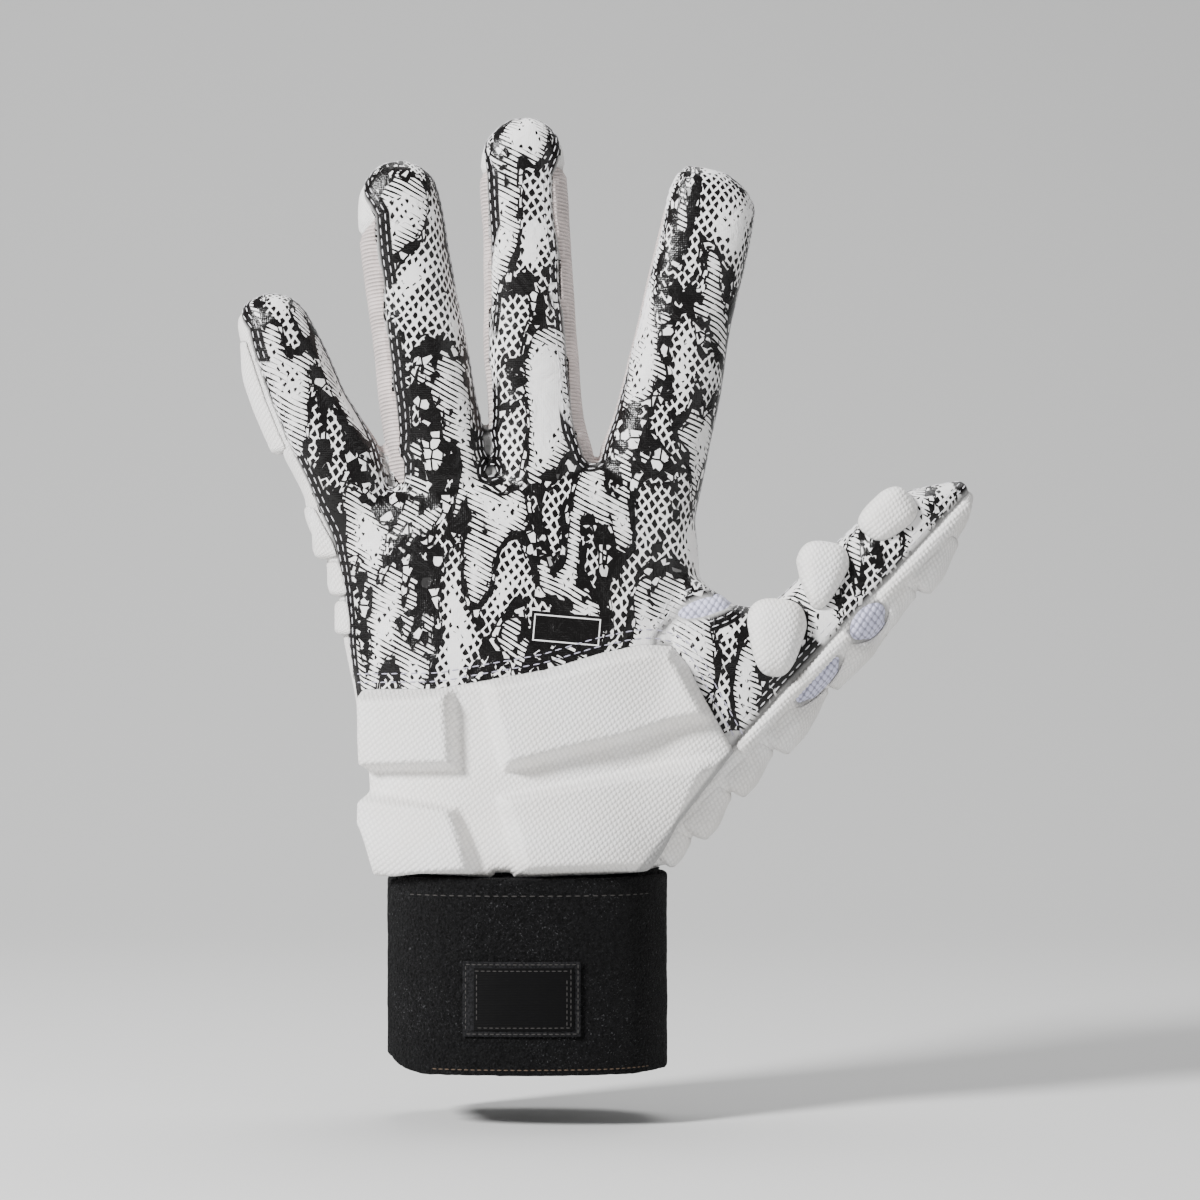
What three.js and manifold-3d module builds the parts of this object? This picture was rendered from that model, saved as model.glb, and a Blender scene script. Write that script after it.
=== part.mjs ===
// Padded football glove for the right hand, shown as worn: palm towards -Y, fingers up, thumb towards +X.
// Millimetres, +Z up. The origin is the centre of the wrist opening, level with the strap's lower edge.

import * as THREE from 'three';
import { mergeVertices } from 'three/addons/utils/BufferGeometryUtils.js';
import Module from 'manifold-3d';

const wasm = await Module();
wasm.setup();

// Driving sizes of the hand, outside of the glove
const WRIST_BREADTH = 67.4;
const WRIST_DEPTH = 46.6;
const PALM_BREADTH = 92;
const PALM_LENGTH = 102;
const PALM_DEPTH = 34;
const KNUCKLE_SLOPE = 7;
const FINGER_BOW = 7;
const FINGER_BOW_START = 0.8;

const LITTLE_FINGER_LENGTH = 65;
const LITTLE_FINGER_BREADTH = 22;
const LITTLE_FINGER_DEPTH = 18;
const LITTLE_FINGER_LEAN = -23;

const RING_FINGER_LENGTH = 96;
const RING_FINGER_BREADTH = 21.5;
const RING_FINGER_DEPTH = 19;
const RING_FINGER_LEAN = -10;

const MIDDLE_FINGER_LENGTH = 106;
const MIDDLE_FINGER_BREADTH = 22.5;
const MIDDLE_FINGER_DEPTH = 19.5;
const MIDDLE_FINGER_LEAN = -2.5;

const INDEX_FINGER_LENGTH = 94.5;
const INDEX_FINGER_BREADTH = 24;
const INDEX_FINGER_DEPTH = 19.5;
const INDEX_FINGER_LEAN = 11.2;

const THUMB_LENGTH = 136;
const THUMB_BREADTH = 26;
const THUMB_DEPTH = 24;
const THUMB_LEAN = 43.2;

// Walls, clearances and trim
const PANEL_WALL = 1.8;
const SEAM_GAP = 0.3;
const SEAT_GAP = 0.3;
const CUFF_RISE_LITTLE_SIDE = 6;
const CUFF_RISE_THUMB_SIDE = 1;

const STRAP_HEIGHT = 50;
const STRAP_THICKNESS = 2.3;
const STRAP_CORNER = 7;
const STRAP_STEPS = 40;
const STRAP_START_ANGLE = 292;
const STRAP_END_ANGLE = -155;
const STRAP_RISE_FROM = 52;
const STRAP_RISE_TO = 6;

const LABEL_WIDTH = 30;
const LABEL_HEIGHT = 19;
const LABEL_THICKNESS = 0.9;
const LABEL_CENTRE_X = -1;
const LABEL_CENTRE_Z = 19.5;

const HEEL_PAD_BASE = 3.2;
const HEEL_PAD_THICKNESS = 9.5;
const HEEL_PAD_BEVEL = 3.6;
const HEEL_PAD_SLOPE_FOOT = 0.5;
const HEEL_PAD_REAR = 0.24;

const PIPING_RADIUS = 1.6;
const PIPING_LIFT = 0.4;
const PIPING_MARKS = 12;
const PIPING_STEPS = 8;
const PIPING_SIDES = 4;
const VENT_LENGTH = 11.5;
const VENT_BREADTH = 7.5;

const LIMB_SIDES = 12;
const PALM_SIDES = 20;
const PAD_SIDES = 10;
const PAD_RINGS = 5;
const VENT_SIDES = 12;
const SEAM_GRID = { across: 22, up: 13 };
const SQUARENESS = 2.4;
const PAD_SQUARENESS = 2.8;
const FAR = 200;
const SHARPEST_CORNER = 0.4;

// Rows of the wrist: height as a share of the strap's height, half breadth and half depth as shares
// of the wrist's sizes
const WRIST_ROWS = [
  { height: 0.00, breadth: 0.500, depth: 0.500 },
  { height: 0.55, breadth: 0.495, depth: 0.495 },
  { height: 1.02, breadth: 0.500, depth: 0.495 },
];

// Rows of the palm above the strap: height as a share of its length, edges as shares of its breadth,
// front and back as shares of its depth
const PALM_ROWS = [
  { height: 0.055, left: 0.410, right: 0.395, front: 0.680, back: 0.640 },
  { height: 0.150, left: 0.432, right: 0.425, front: 0.620, back: 0.600 },
  { height: 0.290, left: 0.455, right: 0.455, front: 0.560, back: 0.550 },
  { height: 0.450, left: 0.485, right: 0.478, front: 0.510, back: 0.520 },
  { height: 0.600, left: 0.515, right: 0.495, front: 0.475, back: 0.500 },
  { height: 0.740, left: 0.535, right: 0.484, front: 0.440, back: 0.480 },
  { height: 0.870, left: 0.580, right: 0.474, front: 0.400, back: 0.445 },
  { height: 0.970, left: 0.622, right: 0.484, front: 0.335, back: 0.385 },
  { height: 1.020, left: 0.630, right: 0.488, front: 0.200, back: 0.240 },
];

// Rows of each finger: along as a share of its length, edges as shares of its breadth, front and back as
// shares of its depth
const LITTLE_FINGER_ROWS = [
  { along: 0.000, left: 0.400, right: 0.600, front: 0.50, back: 0.52 },
  { along: 0.200, left: 0.400, right: 0.670, front: 0.55, back: 0.55 },
  { along: 0.380, left: 0.430, right: 0.610, front: 0.55, back: 0.53 },
  { along: 0.540, left: 0.440, right: 0.535, front: 0.52, back: 0.50 },
  { along: 0.700, left: 0.420, right: 0.530, front: 0.50, back: 0.48 },
  { along: 0.850, left: 0.340, right: 0.500, front: 0.46, back: 0.44 },
  { along: 0.950, left: 0.270, right: 0.360, front: 0.36, back: 0.33 },
  { along: 1.000, left: 0.130, right: 0.150, front: 0.16, back: 0.14 },
];

const RING_FINGER_ROWS = [
  { along: 0.000, left: 0.560, right: 0.480, front: 0.52, back: 0.54 },
  { along: 0.155, left: 0.670, right: 0.530, front: 0.56, back: 0.56 },
  { along: 0.300, left: 0.690, right: 0.510, front: 0.54, back: 0.52 },
  { along: 0.480, left: 0.640, right: 0.498, front: 0.52, back: 0.50 },
  { along: 0.660, left: 0.595, right: 0.485, front: 0.49, back: 0.48 },
  { along: 0.830, left: 0.555, right: 0.490, front: 0.46, back: 0.45 },
  { along: 0.920, left: 0.480, right: 0.470, front: 0.41, back: 0.39 },
  { along: 0.972, left: 0.330, right: 0.350, front: 0.30, back: 0.27 },
  { along: 1.000, left: 0.130, right: 0.160, front: 0.14, back: 0.12 },
];

const MIDDLE_FINGER_ROWS = [
  { along: 0.000, left: 0.520, right: 0.540, front: 0.52, back: 0.54 },
  { along: 0.159, left: 0.560, right: 0.640, front: 0.56, back: 0.56 },
  { along: 0.262, left: 0.562, right: 0.545, front: 0.54, back: 0.52 },
  { along: 0.420, left: 0.578, right: 0.510, front: 0.52, back: 0.50 },
  { along: 0.600, left: 0.542, right: 0.486, front: 0.49, back: 0.48 },
  { along: 0.830, left: 0.535, right: 0.465, front: 0.46, back: 0.45 },
  { along: 0.925, left: 0.490, right: 0.430, front: 0.41, back: 0.39 },
  { along: 0.975, left: 0.330, right: 0.310, front: 0.30, back: 0.27 },
  { along: 1.000, left: 0.140, right: 0.130, front: 0.14, back: 0.12 },
];

const INDEX_FINGER_ROWS = [
  { along: 0.000, left: 0.560, right: 0.560, front: 0.52, back: 0.54 },
  { along: 0.190, left: 0.600, right: 0.555, front: 0.56, back: 0.56 },
  { along: 0.283, left: 0.545, right: 0.562, front: 0.54, back: 0.52 },
  { along: 0.420, left: 0.500, right: 0.560, front: 0.52, back: 0.50 },
  { along: 0.580, left: 0.470, right: 0.525, front: 0.49, back: 0.48 },
  { along: 0.830, left: 0.440, right: 0.550, front: 0.45, back: 0.44 },
  { along: 0.910, left: 0.420, right: 0.540, front: 0.42, back: 0.40 },
  { along: 0.965, left: 0.380, right: 0.400, front: 0.34, back: 0.30 },
  { along: 1.000, left: 0.270, right: 0.160, front: 0.18, back: 0.16 },
];

const THUMB_ROWS = [
  { along: 0.000, left: 0.770, right: 0.190, front: 0.62, back: 0.60 },
  { along: 0.103, left: 0.846, right: 0.358, front: 0.68, back: 0.62 },
  { along: 0.243, left: 0.923, right: 0.325, front: 0.66, back: 0.60 },
  { along: 0.368, left: 1.200, right: 0.345, front: 0.62, back: 0.56 },
  { along: 0.456, left: 1.600, right: 0.350, front: 0.58, back: 0.54 },
  { along: 0.510, left: 1.600, right: 0.342, front: 0.56, back: 0.52 },
  { along: 0.537, left: 0.880, right: 0.330, front: 0.54, back: 0.50 },
  { along: 0.605, left: 0.655, right: 0.330, front: 0.52, back: 0.48 },
  { along: 0.772, left: 0.615, right: 0.300, front: 0.50, back: 0.46 },
  { along: 0.875, left: 0.545, right: 0.280, front: 0.45, back: 0.42 },
  { along: 0.950, left: 0.330, right: 0.210, front: 0.33, back: 0.31 },
  { along: 1.000, left: 0.140, right: 0.050, front: 0.15, back: 0.15 },
];

// Each limb: where its axis starts, as shares of the palm's breadth and length, its sizes, and where its
// front seam lies on either side, as a share of its depth in front of the middle, or behind it if below zero
const LITTLE_FINGER = {
  rootX: -0.489, rootZ: 0.873, lean: LITTLE_FINGER_LEAN, rows: LITTLE_FINGER_ROWS,
  length: LITTLE_FINGER_LENGTH, breadth: LITTLE_FINGER_BREADTH, depth: LITTLE_FINGER_DEPTH,
  seamLeft: 0.42, seamRight: -0.08,
};
const RING_FINGER = {
  rootX: -0.196, rootZ: 0.873, lean: RING_FINGER_LEAN, rows: RING_FINGER_ROWS,
  length: RING_FINGER_LENGTH, breadth: RING_FINGER_BREADTH, depth: RING_FINGER_DEPTH,
  seamLeft: 0.42, seamRight: -0.04,
};
const MIDDLE_FINGER = {
  rootX: 0.041, rootZ: 0.873, lean: MIDDLE_FINGER_LEAN, rows: MIDDLE_FINGER_ROWS,
  length: MIDDLE_FINGER_LENGTH, breadth: MIDDLE_FINGER_BREADTH, depth: MIDDLE_FINGER_DEPTH,
  seamLeft: 0.27, seamRight: 0.36,
};
const INDEX_FINGER = {
  rootX: 0.321, rootZ: 0.873, lean: INDEX_FINGER_LEAN, rows: INDEX_FINGER_ROWS,
  length: INDEX_FINGER_LENGTH, breadth: INDEX_FINGER_BREADTH, depth: INDEX_FINGER_DEPTH,
  seamLeft: 0.10, seamRight: -0.12,
};
const THUMB = {
  rootX: 0.239, rootZ: 0.001, lean: THUMB_LEAN, rows: THUMB_ROWS,
  length: THUMB_LENGTH, breadth: THUMB_BREADTH, depth: THUMB_DEPTH,
};
const FINGERS = [LITTLE_FINGER, RING_FINGER, MIDDLE_FINGER, INDEX_FINGER];

// Where the front seam lies at the thumb: right of the index finger as a share of the palm's breadth, and
// behind the middle as a share of the thumb's depth
const THUMB_SEAM = { beyond: 0.15, behind: 0.06 };

const BACK_SEAM = 0.24;
const TIP_SEAM = 0.12;
const TIP_SEAM_RUN = 0.06;
const SIDEWALL_START = 0.05;
const SIDEWALL_END = 0.90;

// Heel pad corners: x as a share of the palm's breadth, z as a share of its length above the strap
const HEEL_PAD_OUTLINE = [
  { x: -0.475, z: 0.455 }, { x: -0.242, z: 0.466 }, { x: -0.118, z: 0.486 }, { x: 0.053, z: 0.513 },
  { x: 0.208, z: 0.555 }, { x: 0.324, z: 0.577 }, { x: 0.401, z: 0.570 }, { x: 0.448, z: 0.527 },
  { x: 0.489, z: 0.450 }, { x: 0.573, z: 0.315 }, { x: 0.304, z: 0.012 }, { x: -0.312, z: 0.012 },
  { x: -0.378, z: 0.026 }, { x: -0.430, z: 0.156 }, { x: -0.470, z: 0.338 },
];
const HEEL_PAD_SEGMENTS = [
  [{ x: -0.475, z: 0.455 }, { x: -0.196, z: 0.466 }, { x: -0.171, z: 0.259 }, { x: -0.458, z: 0.269 }],
  [
    { x: -0.124, z: 0.482 }, { x: 0.053, z: 0.513 }, { x: 0.208, z: 0.555 }, { x: 0.324, z: 0.577 },
    { x: 0.401, z: 0.570 }, { x: 0.448, z: 0.527 }, { x: 0.489, z: 0.450 }, { x: 0.512, z: 0.398 },
    { x: -0.063, z: 0.256 },
  ],
  [
    { x: -0.436, z: 0.226 }, { x: -0.183, z: 0.176 }, { x: -0.102, z: 0.012 }, { x: -0.312, z: 0.012 },
    { x: -0.378, z: 0.026 }, { x: -0.425, z: 0.140 },
  ],
  [{ x: -0.068, z: 0.200 }, { x: 0.566, z: 0.306 }, { x: 0.304, z: 0.012 }, { x: -0.016, z: 0.012 }],
];

// Pads on the thumb: place along and across its axis and in front of its middle, then half sizes,
// all as shares of its length, breadth and depth
const THUMB_PADS = [
  { along: 0.537, across: -0.420, ahead: 0.36, halfLength: 0.075, halfBreadth: 0.32, halfDepth: 0.40 },
  { along: 0.682, across: -0.500, ahead: 0.26, halfLength: 0.068, halfBreadth: 0.27, halfDepth: 0.40 },
  { along: 0.853, across: -0.430, ahead: 0.22, halfLength: 0.058, halfBreadth: 0.25, halfDepth: 0.36 },
];
const THUMB_BACK_PADS = [
  { along: 0.116, across: 0.150, ahead: -0.20, halfLength: 0.036, halfBreadth: 0.28, halfDepth: 0.50 },
  { along: 0.211, across: 0.170, ahead: -0.20, halfLength: 0.054, halfBreadth: 0.31, halfDepth: 0.48 },
  { along: 0.324, across: 0.160, ahead: -0.18, halfLength: 0.056, halfBreadth: 0.30, halfDepth: 0.46 },
  { along: 0.460, across: 0.160, ahead: -0.16, halfLength: 0.076, halfBreadth: 0.33, halfDepth: 0.44 },
  { along: 0.664, across: 0.120, ahead: -0.14, halfLength: 0.122, halfBreadth: 0.31, halfDepth: 0.42 },
  { along: 0.853, across: 0.085, ahead: -0.12, halfLength: 0.061, halfBreadth: 0.33, halfDepth: 0.38 },
];

// Pads on the hand's outer edge: x as a share of the palm's breadth, z of its length above the strap,
// then half sizes as shares of the palm's depth
const HAND_EDGE_PADS = [
  { x: -0.470, z: 0.648, halfHeight: 0.138, halfBreadth: 0.20, halfDepth: 0.30 },
  { x: -0.492, z: 0.748, halfHeight: 0.140, halfBreadth: 0.20, halfDepth: 0.30 },
  { x: -0.528, z: 0.866, halfHeight: 0.205, halfBreadth: 0.22, halfDepth: 0.28 },
];
const LITTLE_FINGER_PAD = {
  along: 0.640, across: -0.280, ahead: -0.10, halfLength: 0.260, halfBreadth: 0.29, halfDepth: 0.42,
};

// Mesh vents: place on the thumb's axis as shares of its length and breadth, size as shares of a vent's,
// turn in degrees
const THUMB_VENT_UPPER = { along: 0.680, across: 0.150, length: 1.0, breadth: 1.0, turn: 0 };
const THUMB_VENT_LOWER = { along: 0.535, across: 0.190, length: 1.35, breadth: 0.65, turn: 0 };
const WEB_VENT = { along: 0.492, across: -1.140, length: 1.35, breadth: 0.62, turn: 30 };

// Seam between the printed and the white thumb panel, as shares of the thumb's length
const THUMB_SEAM_START = 0.335;
const PIPING_END = 0.975;

// Lower ends of the two seams that bound the white thumb panel, as shares of the palm's breadth and length
const THUMB_PANEL_FRONT_FOOT = { x: 0.300, z: -0.010 };
const THUMB_PANEL_BACK_FOOT = { x: 0.270, z: -0.010 };
const THUMB_PANEL_BACK_HEAD = { x: 0.500, z: 0.735 };
const THUMB_PANEL_BACK_TOP = { x: 0.760, z: 0.950 };

// Seam from the heel of the hand through the web, where the thumb's own grip panel begins
const THUMB_GRIP_FOOT = { x: 0.366, z: -0.100 };
const THUMB_GRIP_HEAD = { x: 0.366, z: 0.600 };
const THUMB_GRIP_WEB = { x: 0.430, z: 0.660 };
const THUMB_GRIP_END = { x: 0.610, z: 0.720 };

// Seam over the knuckles between the hand's back and the finger backs, as a share of the palm's length
const KNUCKLE_SEAM = 0.800;

const FINISHES = {
  print: { color: 0xe9e8e6, roughness: 0.35 },
  white: { color: 0xf1f0ee, roughness: 0.85 },
  knit: { color: 0xcfc4bf, roughness: 0.9 },
  mesh: { color: 0xbfbfd4, roughness: 0.9 },
  black: { color: 0x141415, roughness: 0.95 },
  label: { color: 0x1c1c1e, roughness: 0.6 },
};

// Turning three.js shapes into solids that can be joined and cut, and back

function solidOf(geometry) {
  const bare = new THREE.BufferGeometry();
  bare.setAttribute('position', geometry.getAttribute('position').clone());
  bare.setIndex(geometry.getIndex());
  const merged = mergeVertices(bare, 1e-4);
  return new wasm.Manifold(new wasm.Mesh({
    numProp: 3,
    vertProperties: new Float32Array(merged.getAttribute('position').array),
    triVerts: new Uint32Array(merged.getIndex().array),
  }));
}

function geometryOf(solid) {
  const mesh = solid.getMesh();
  const geometry = new THREE.BufferGeometry();
  geometry.setAttribute('position', new THREE.BufferAttribute(mesh.vertProperties, 3));
  geometry.setIndex(new THREE.BufferAttribute(mesh.triVerts, 1));
  return geometry;
}

function joined(solids) {
  return solids.reduce((all, solid) => all.add(solid));
}

// An outline in the x, z plane drawn out along y between two depths
function prism(points, nearY, farY) {
  const shape = new THREE.Shape(points.map((point) => new THREE.Vector2(point.x, point.z)));
  const geometry = new THREE.ExtrudeGeometry(shape, { depth: farY - nearY, bevelEnabled: false });
  geometry.rotateX(Math.PI / 2);
  geometry.translate(0, farY, 0);
  return solidOf(geometry);
}

// A prism whose near end is drawn in to a smaller outline with as many corners
function slopedPrism(outline, nearOutline, nearY, farY) {
  const shape = new THREE.Shape(outline.map((point) => new THREE.Vector2(point.x, point.z)));
  const geometry = new THREE.ExtrudeGeometry(shape, { depth: farY - nearY, bevelEnabled: false });
  geometry.rotateX(Math.PI / 2);
  geometry.translate(0, farY, 0);
  const position = geometry.getAttribute('position');
  for (let i = 0; i < position.count; i += 1) {
    if (position.getY(i) < (nearY + farY) / 2) {
      const x = position.getX(i);
      const z = position.getZ(i);
      const distances = outline.map((point) => Math.hypot(point.x - x, point.z - z));
      const corner = nearOutline[distances.indexOf(Math.min(...distances))];
      position.setXYZ(i, corner.x, nearY, corner.z);
    }
  }
  return solidOf(geometry);
}

// The same outline moved outwards by a distance, or inwards by a negative one, with sharp corners held back
function grownOutline(points, distance) {
  const turning = points.reduce((sum, point, i) => {
    const next = points[(i + 1) % points.length];
    return sum + point.x * next.z - next.x * point.z;
  }, 0);
  const sign = turning > 0 ? 1 : -1;
  return points.map((point, i) => {
    const before = points[(i + points.length - 1) % points.length];
    const after = points[(i + 1) % points.length];
    const edgeIn = new THREE.Vector2(point.x - before.x, point.z - before.z).normalize();
    const edgeOut = new THREE.Vector2(after.x - point.x, after.z - point.z).normalize();
    const normalIn = new THREE.Vector2(edgeIn.y, -edgeIn.x);
    const normalOut = new THREE.Vector2(edgeOut.y, -edgeOut.x);
    const reach = (sign * distance) / Math.max(1 + normalIn.dot(normalOut), SHARPEST_CORNER);
    return {
      x: point.x + (normalIn.x + normalOut.x) * reach,
      z: point.z + (normalIn.y + normalOut.y) * reach,
    };
  });
}

// Places on the palm and on the limbs

function palmPlace(share) {
  return { x: share.x * PALM_BREADTH, z: STRAP_HEIGHT + share.z * PALM_LENGTH };
}

function limbPlace(limb, along, across) {
  const lean = THREE.MathUtils.degToRad(limb.lean);
  const root = palmPlace({ x: limb.rootX, z: limb.rootZ });
  return {
    x: root.x + along * Math.sin(lean) + across * Math.cos(lean),
    z: root.z + along * Math.cos(lean) - across * Math.sin(lean),
  };
}

// Sections in millimetres, bottom to top, each grown outwards by a distance

function limbSections(limb, grow) {
  return limb.rows.map((row, i) => ({
    along: row.along * limb.length + (i === limb.rows.length - 1 ? grow : 0),
    left: row.left * limb.breadth + grow,
    right: row.right * limb.breadth + grow,
    front: row.front * limb.depth + grow,
    back: row.back * limb.depth + grow,
  }));
}

function handSections(grow) {
  const wrist = WRIST_ROWS.map((row) => ({
    along: row.height * STRAP_HEIGHT,
    left: row.breadth * WRIST_BREADTH + grow,
    right: row.breadth * WRIST_BREADTH + grow,
    front: row.depth * WRIST_DEPTH + grow,
    back: row.depth * WRIST_DEPTH + grow,
  }));
  const palm = PALM_ROWS.map((row, i) => ({
    along: STRAP_HEIGHT + row.height * PALM_LENGTH + (i === PALM_ROWS.length - 1 ? grow : 0),
    left: row.left * PALM_BREADTH + grow,
    right: row.right * PALM_BREADTH + grow,
    front: row.front * PALM_DEPTH + grow,
    back: row.back * PALM_DEPTH + grow,
  }));
  const sections = [...wrist, ...palm];
  sections[0].along -= Math.abs(grow);
  return sections;
}

function rounded(value, squareness = SQUARENESS) {
  return Math.sign(value) * Math.abs(value) ** (2 / squareness);
}

// A closed skin through a stack of rounded sections
function loft(sections, sides, place) {
  const rows = sections.length - 1;
  const geometry = new THREE.CylinderGeometry(1, 1, 1, sides, rows);
  const position = geometry.getAttribute('position');
  for (let i = 0; i < position.count; i += 1) {
    const section = sections[Math.round((position.getY(i) + 0.5) * rows)];
    const middle = (section.right - section.left) / 2;
    const half = (section.right + section.left) / 2;
    const turnX = position.getX(i);
    const turnY = -position.getZ(i);
    const spot = place(section.along, middle + half * rounded(turnX));
    const depth = (turnY < 0 ? section.front : section.back) * rounded(turnY);
    position.setXYZ(i, spot.x, depth, spot.z);
  }
  return solidOf(geometry);
}

function handSolid(grow) {
  const slope = Math.tan(THREE.MathUtils.degToRad(KNUCKLE_SLOPE));
  const palm = loft(handSections(grow), PALM_SIDES, (along, across) => {
    const rise = Math.max((along - STRAP_HEIGHT) / PALM_LENGTH, 0) ** 2;
    return { x: across, z: along + across * slope * rise };
  });
  const limbs = [...FINGERS, THUMB].map((limb) => (
    loft(limbSections(limb, grow), LIMB_SIDES, (along, across) => limbPlace(limb, along, across))
  ));
  return joined([palm, ...limbs]);
}

// Depth of the front seam at a place, read between the edges of the fingers
function frontSeam(x, z) {
  const marks = FINGERS.flatMap((finger) => {
    const lean = THREE.MathUtils.degToRad(finger.lean);
    const root = palmPlace({ x: finger.rootX, z: finger.rootZ });
    const above = Math.max(z - root.z, 0);
    const middle = root.x + above * Math.tan(lean);
    const half = finger.breadth / 2 / Math.cos(lean);
    const reach = above / Math.cos(lean) / finger.length;
    const overTip = THREE.MathUtils.smoothstep(reach, SIDEWALL_END - TIP_SEAM_RUN, 1);
    return [
      { x: middle - half, y: THREE.MathUtils.lerp(-finger.seamLeft, TIP_SEAM, overTip) * finger.depth },
      { x: middle + half, y: THREE.MathUtils.lerp(-finger.seamRight, TIP_SEAM, overTip) * finger.depth },
    ];
  });
  const indexSide = marks[marks.length - 1].x;
  marks.push({ x: indexSide + THUMB_SEAM.beyond * PALM_BREADTH, y: THUMB_SEAM.behind * THUMB_DEPTH });
  if (x <= marks[0].x) return marks[0].y;
  for (let i = 1; i < marks.length; i += 1) {
    if (x < marks[i].x) {
      const share = (x - marks[i - 1].x) / (marks[i].x - marks[i - 1].x);
      return THREE.MathUtils.lerp(marks[i - 1].y, marks[i].y, Math.max(share, 0));
    }
  }
  return marks[marks.length - 1].y;
}

// Everything in front of the front seam, its far face moved back by a distance
function frontBlock(shift) {
  const reachX = [-PALM_BREADTH - LITTLE_FINGER_BREADTH, PALM_BREADTH + 2 * THUMB_BREADTH];
  const reachZ = [-STRAP_HEIGHT, STRAP_HEIGHT + PALM_LENGTH + MIDDLE_FINGER_LENGTH + PALM_DEPTH];
  const geometry = new THREE.BoxGeometry(1, 1, 1, SEAM_GRID.across, 1, SEAM_GRID.up);
  const position = geometry.getAttribute('position');
  for (let i = 0; i < position.count; i += 1) {
    const x = THREE.MathUtils.lerp(reachX[0], reachX[1], position.getX(i) + 0.5);
    const z = THREE.MathUtils.lerp(reachZ[0], reachZ[1], position.getZ(i) + 0.5);
    const y = position.getY(i) < 0 ? -FAR : frontSeam(x, z) + shift;
    position.setXYZ(i, x, y, z);
  }
  return solidOf(geometry);
}

// Region above the slanting line where the black cuff ends
function aboveCuff(shift) {
  const littleSide = STRAP_HEIGHT + CUFF_RISE_LITTLE_SIDE + shift;
  const thumbSide = STRAP_HEIGHT + CUFF_RISE_THUMB_SIDE + shift;
  const slope = (thumbSide - littleSide) / WRIST_BREADTH;
  const middle = (thumbSide + littleSide) / 2;
  return prism([
    { x: -FAR, z: middle - slope * FAR },
    { x: FAR, z: middle + slope * FAR },
    { x: FAR, z: 2 * FAR },
    { x: -FAR, z: 2 * FAR },
  ], -FAR, FAR);
}

// The strips between two neighbouring fingers
function sidewallRegion(leftFinger, rightFinger, grow) {
  const outline = [
    limbPlace(leftFinger, leftFinger.length * SIDEWALL_START, 0),
    limbPlace(leftFinger, leftFinger.length * SIDEWALL_END, 0),
    limbPlace(rightFinger, rightFinger.length * SIDEWALL_END, 0),
    limbPlace(rightFinger, rightFinger.length * SIDEWALL_START, 0),
  ];
  const backSeam = BACK_SEAM * Math.min(leftFinger.depth, rightFinger.depth);
  return prism(grownOutline(outline, grow), -FAR, backSeam + grow);
}

// White thumb panel in front: below the seam along the thumb, right of the heel pad
function thumbFrontRegion(grow) {
  const outline = [
    palmPlace(THUMB_PANEL_FRONT_FOOT),
    limbPlace(THUMB, THUMB_LENGTH * THUMB_SEAM_START, 0),
    limbPlace(THUMB, THUMB_LENGTH + PALM_DEPTH, 0),
    { x: FAR, z: STRAP_HEIGHT + PALM_LENGTH },
    { x: FAR, z: 0 },
    { x: palmPlace(THUMB_PANEL_FRONT_FOOT).x, z: 0 },
  ];
  return prism(grownOutline(outline, grow), -FAR, FAR);
}

// White thumb panel behind: everything right of a seam over the back of the hand
function thumbBackRegion(grow) {
  const top = palmPlace(THUMB_PANEL_BACK_TOP);
  const outline = [
    palmPlace(THUMB_PANEL_BACK_FOOT),
    palmPlace(THUMB_PANEL_BACK_HEAD),
    top,
    { x: top.x, z: STRAP_HEIGHT + THUMB_LENGTH },
    { x: FAR, z: STRAP_HEIGHT + THUMB_LENGTH },
    { x: FAR, z: 0 },
    { x: palmPlace(THUMB_PANEL_BACK_FOOT).x, z: 0 },
  ];
  return prism(grownOutline(outline, grow), -FAR, FAR);
}

// The thumb's own grip panel: right of the heel of the hand and below the web
function thumbGripRegion(grow) {
  const outline = [
    palmPlace(THUMB_GRIP_FOOT),
    palmPlace(THUMB_GRIP_HEAD),
    palmPlace(THUMB_GRIP_WEB),
    palmPlace(THUMB_GRIP_END),
    { x: palmPlace(THUMB_GRIP_END).x, z: STRAP_HEIGHT + THUMB_LENGTH },
    { x: FAR, z: STRAP_HEIGHT + THUMB_LENGTH },
    { x: FAR, z: palmPlace(THUMB_GRIP_FOOT).z },
  ];
  return prism(grownOutline(outline, grow), -FAR, FAR);
}

// Region above the seam over the knuckles
function aboveKnuckles(shift) {
  const slope = Math.tan(THREE.MathUtils.degToRad(KNUCKLE_SLOPE));
  const middle = STRAP_HEIGHT + KNUCKLE_SEAM * PALM_LENGTH + shift;
  return prism([
    { x: -FAR, z: middle - slope * FAR },
    { x: FAR, z: middle + slope * FAR },
    { x: FAR, z: 2 * FAR },
    { x: -FAR, z: 2 * FAR },
  ], -FAR, FAR);
}

// A leaf-shaped vent in the front of the thumb
function ventRegion(vent, grow) {
  const centre = limbPlace(THUMB, vent.along * THUMB_LENGTH, vent.across * THUMB_BREADTH);
  const turn = THREE.MathUtils.degToRad(90 - THUMB_LEAN - vent.turn);
  const curve = new THREE.EllipseCurve(
    centre.x, centre.z,
    (vent.length * VENT_LENGTH) / 2 + grow, (vent.breadth * VENT_BREADTH) / 2 + grow,
    0, 2 * Math.PI, false, turn,
  );
  const points = curve.getSpacedPoints(VENT_SIDES).slice(0, VENT_SIDES);
  const outline = points.map((point) => ({ x: point.x, z: point.y }));
  return prism(outline, -FAR, 0);
}

// Rounded pads seated on the outside of the hand

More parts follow.
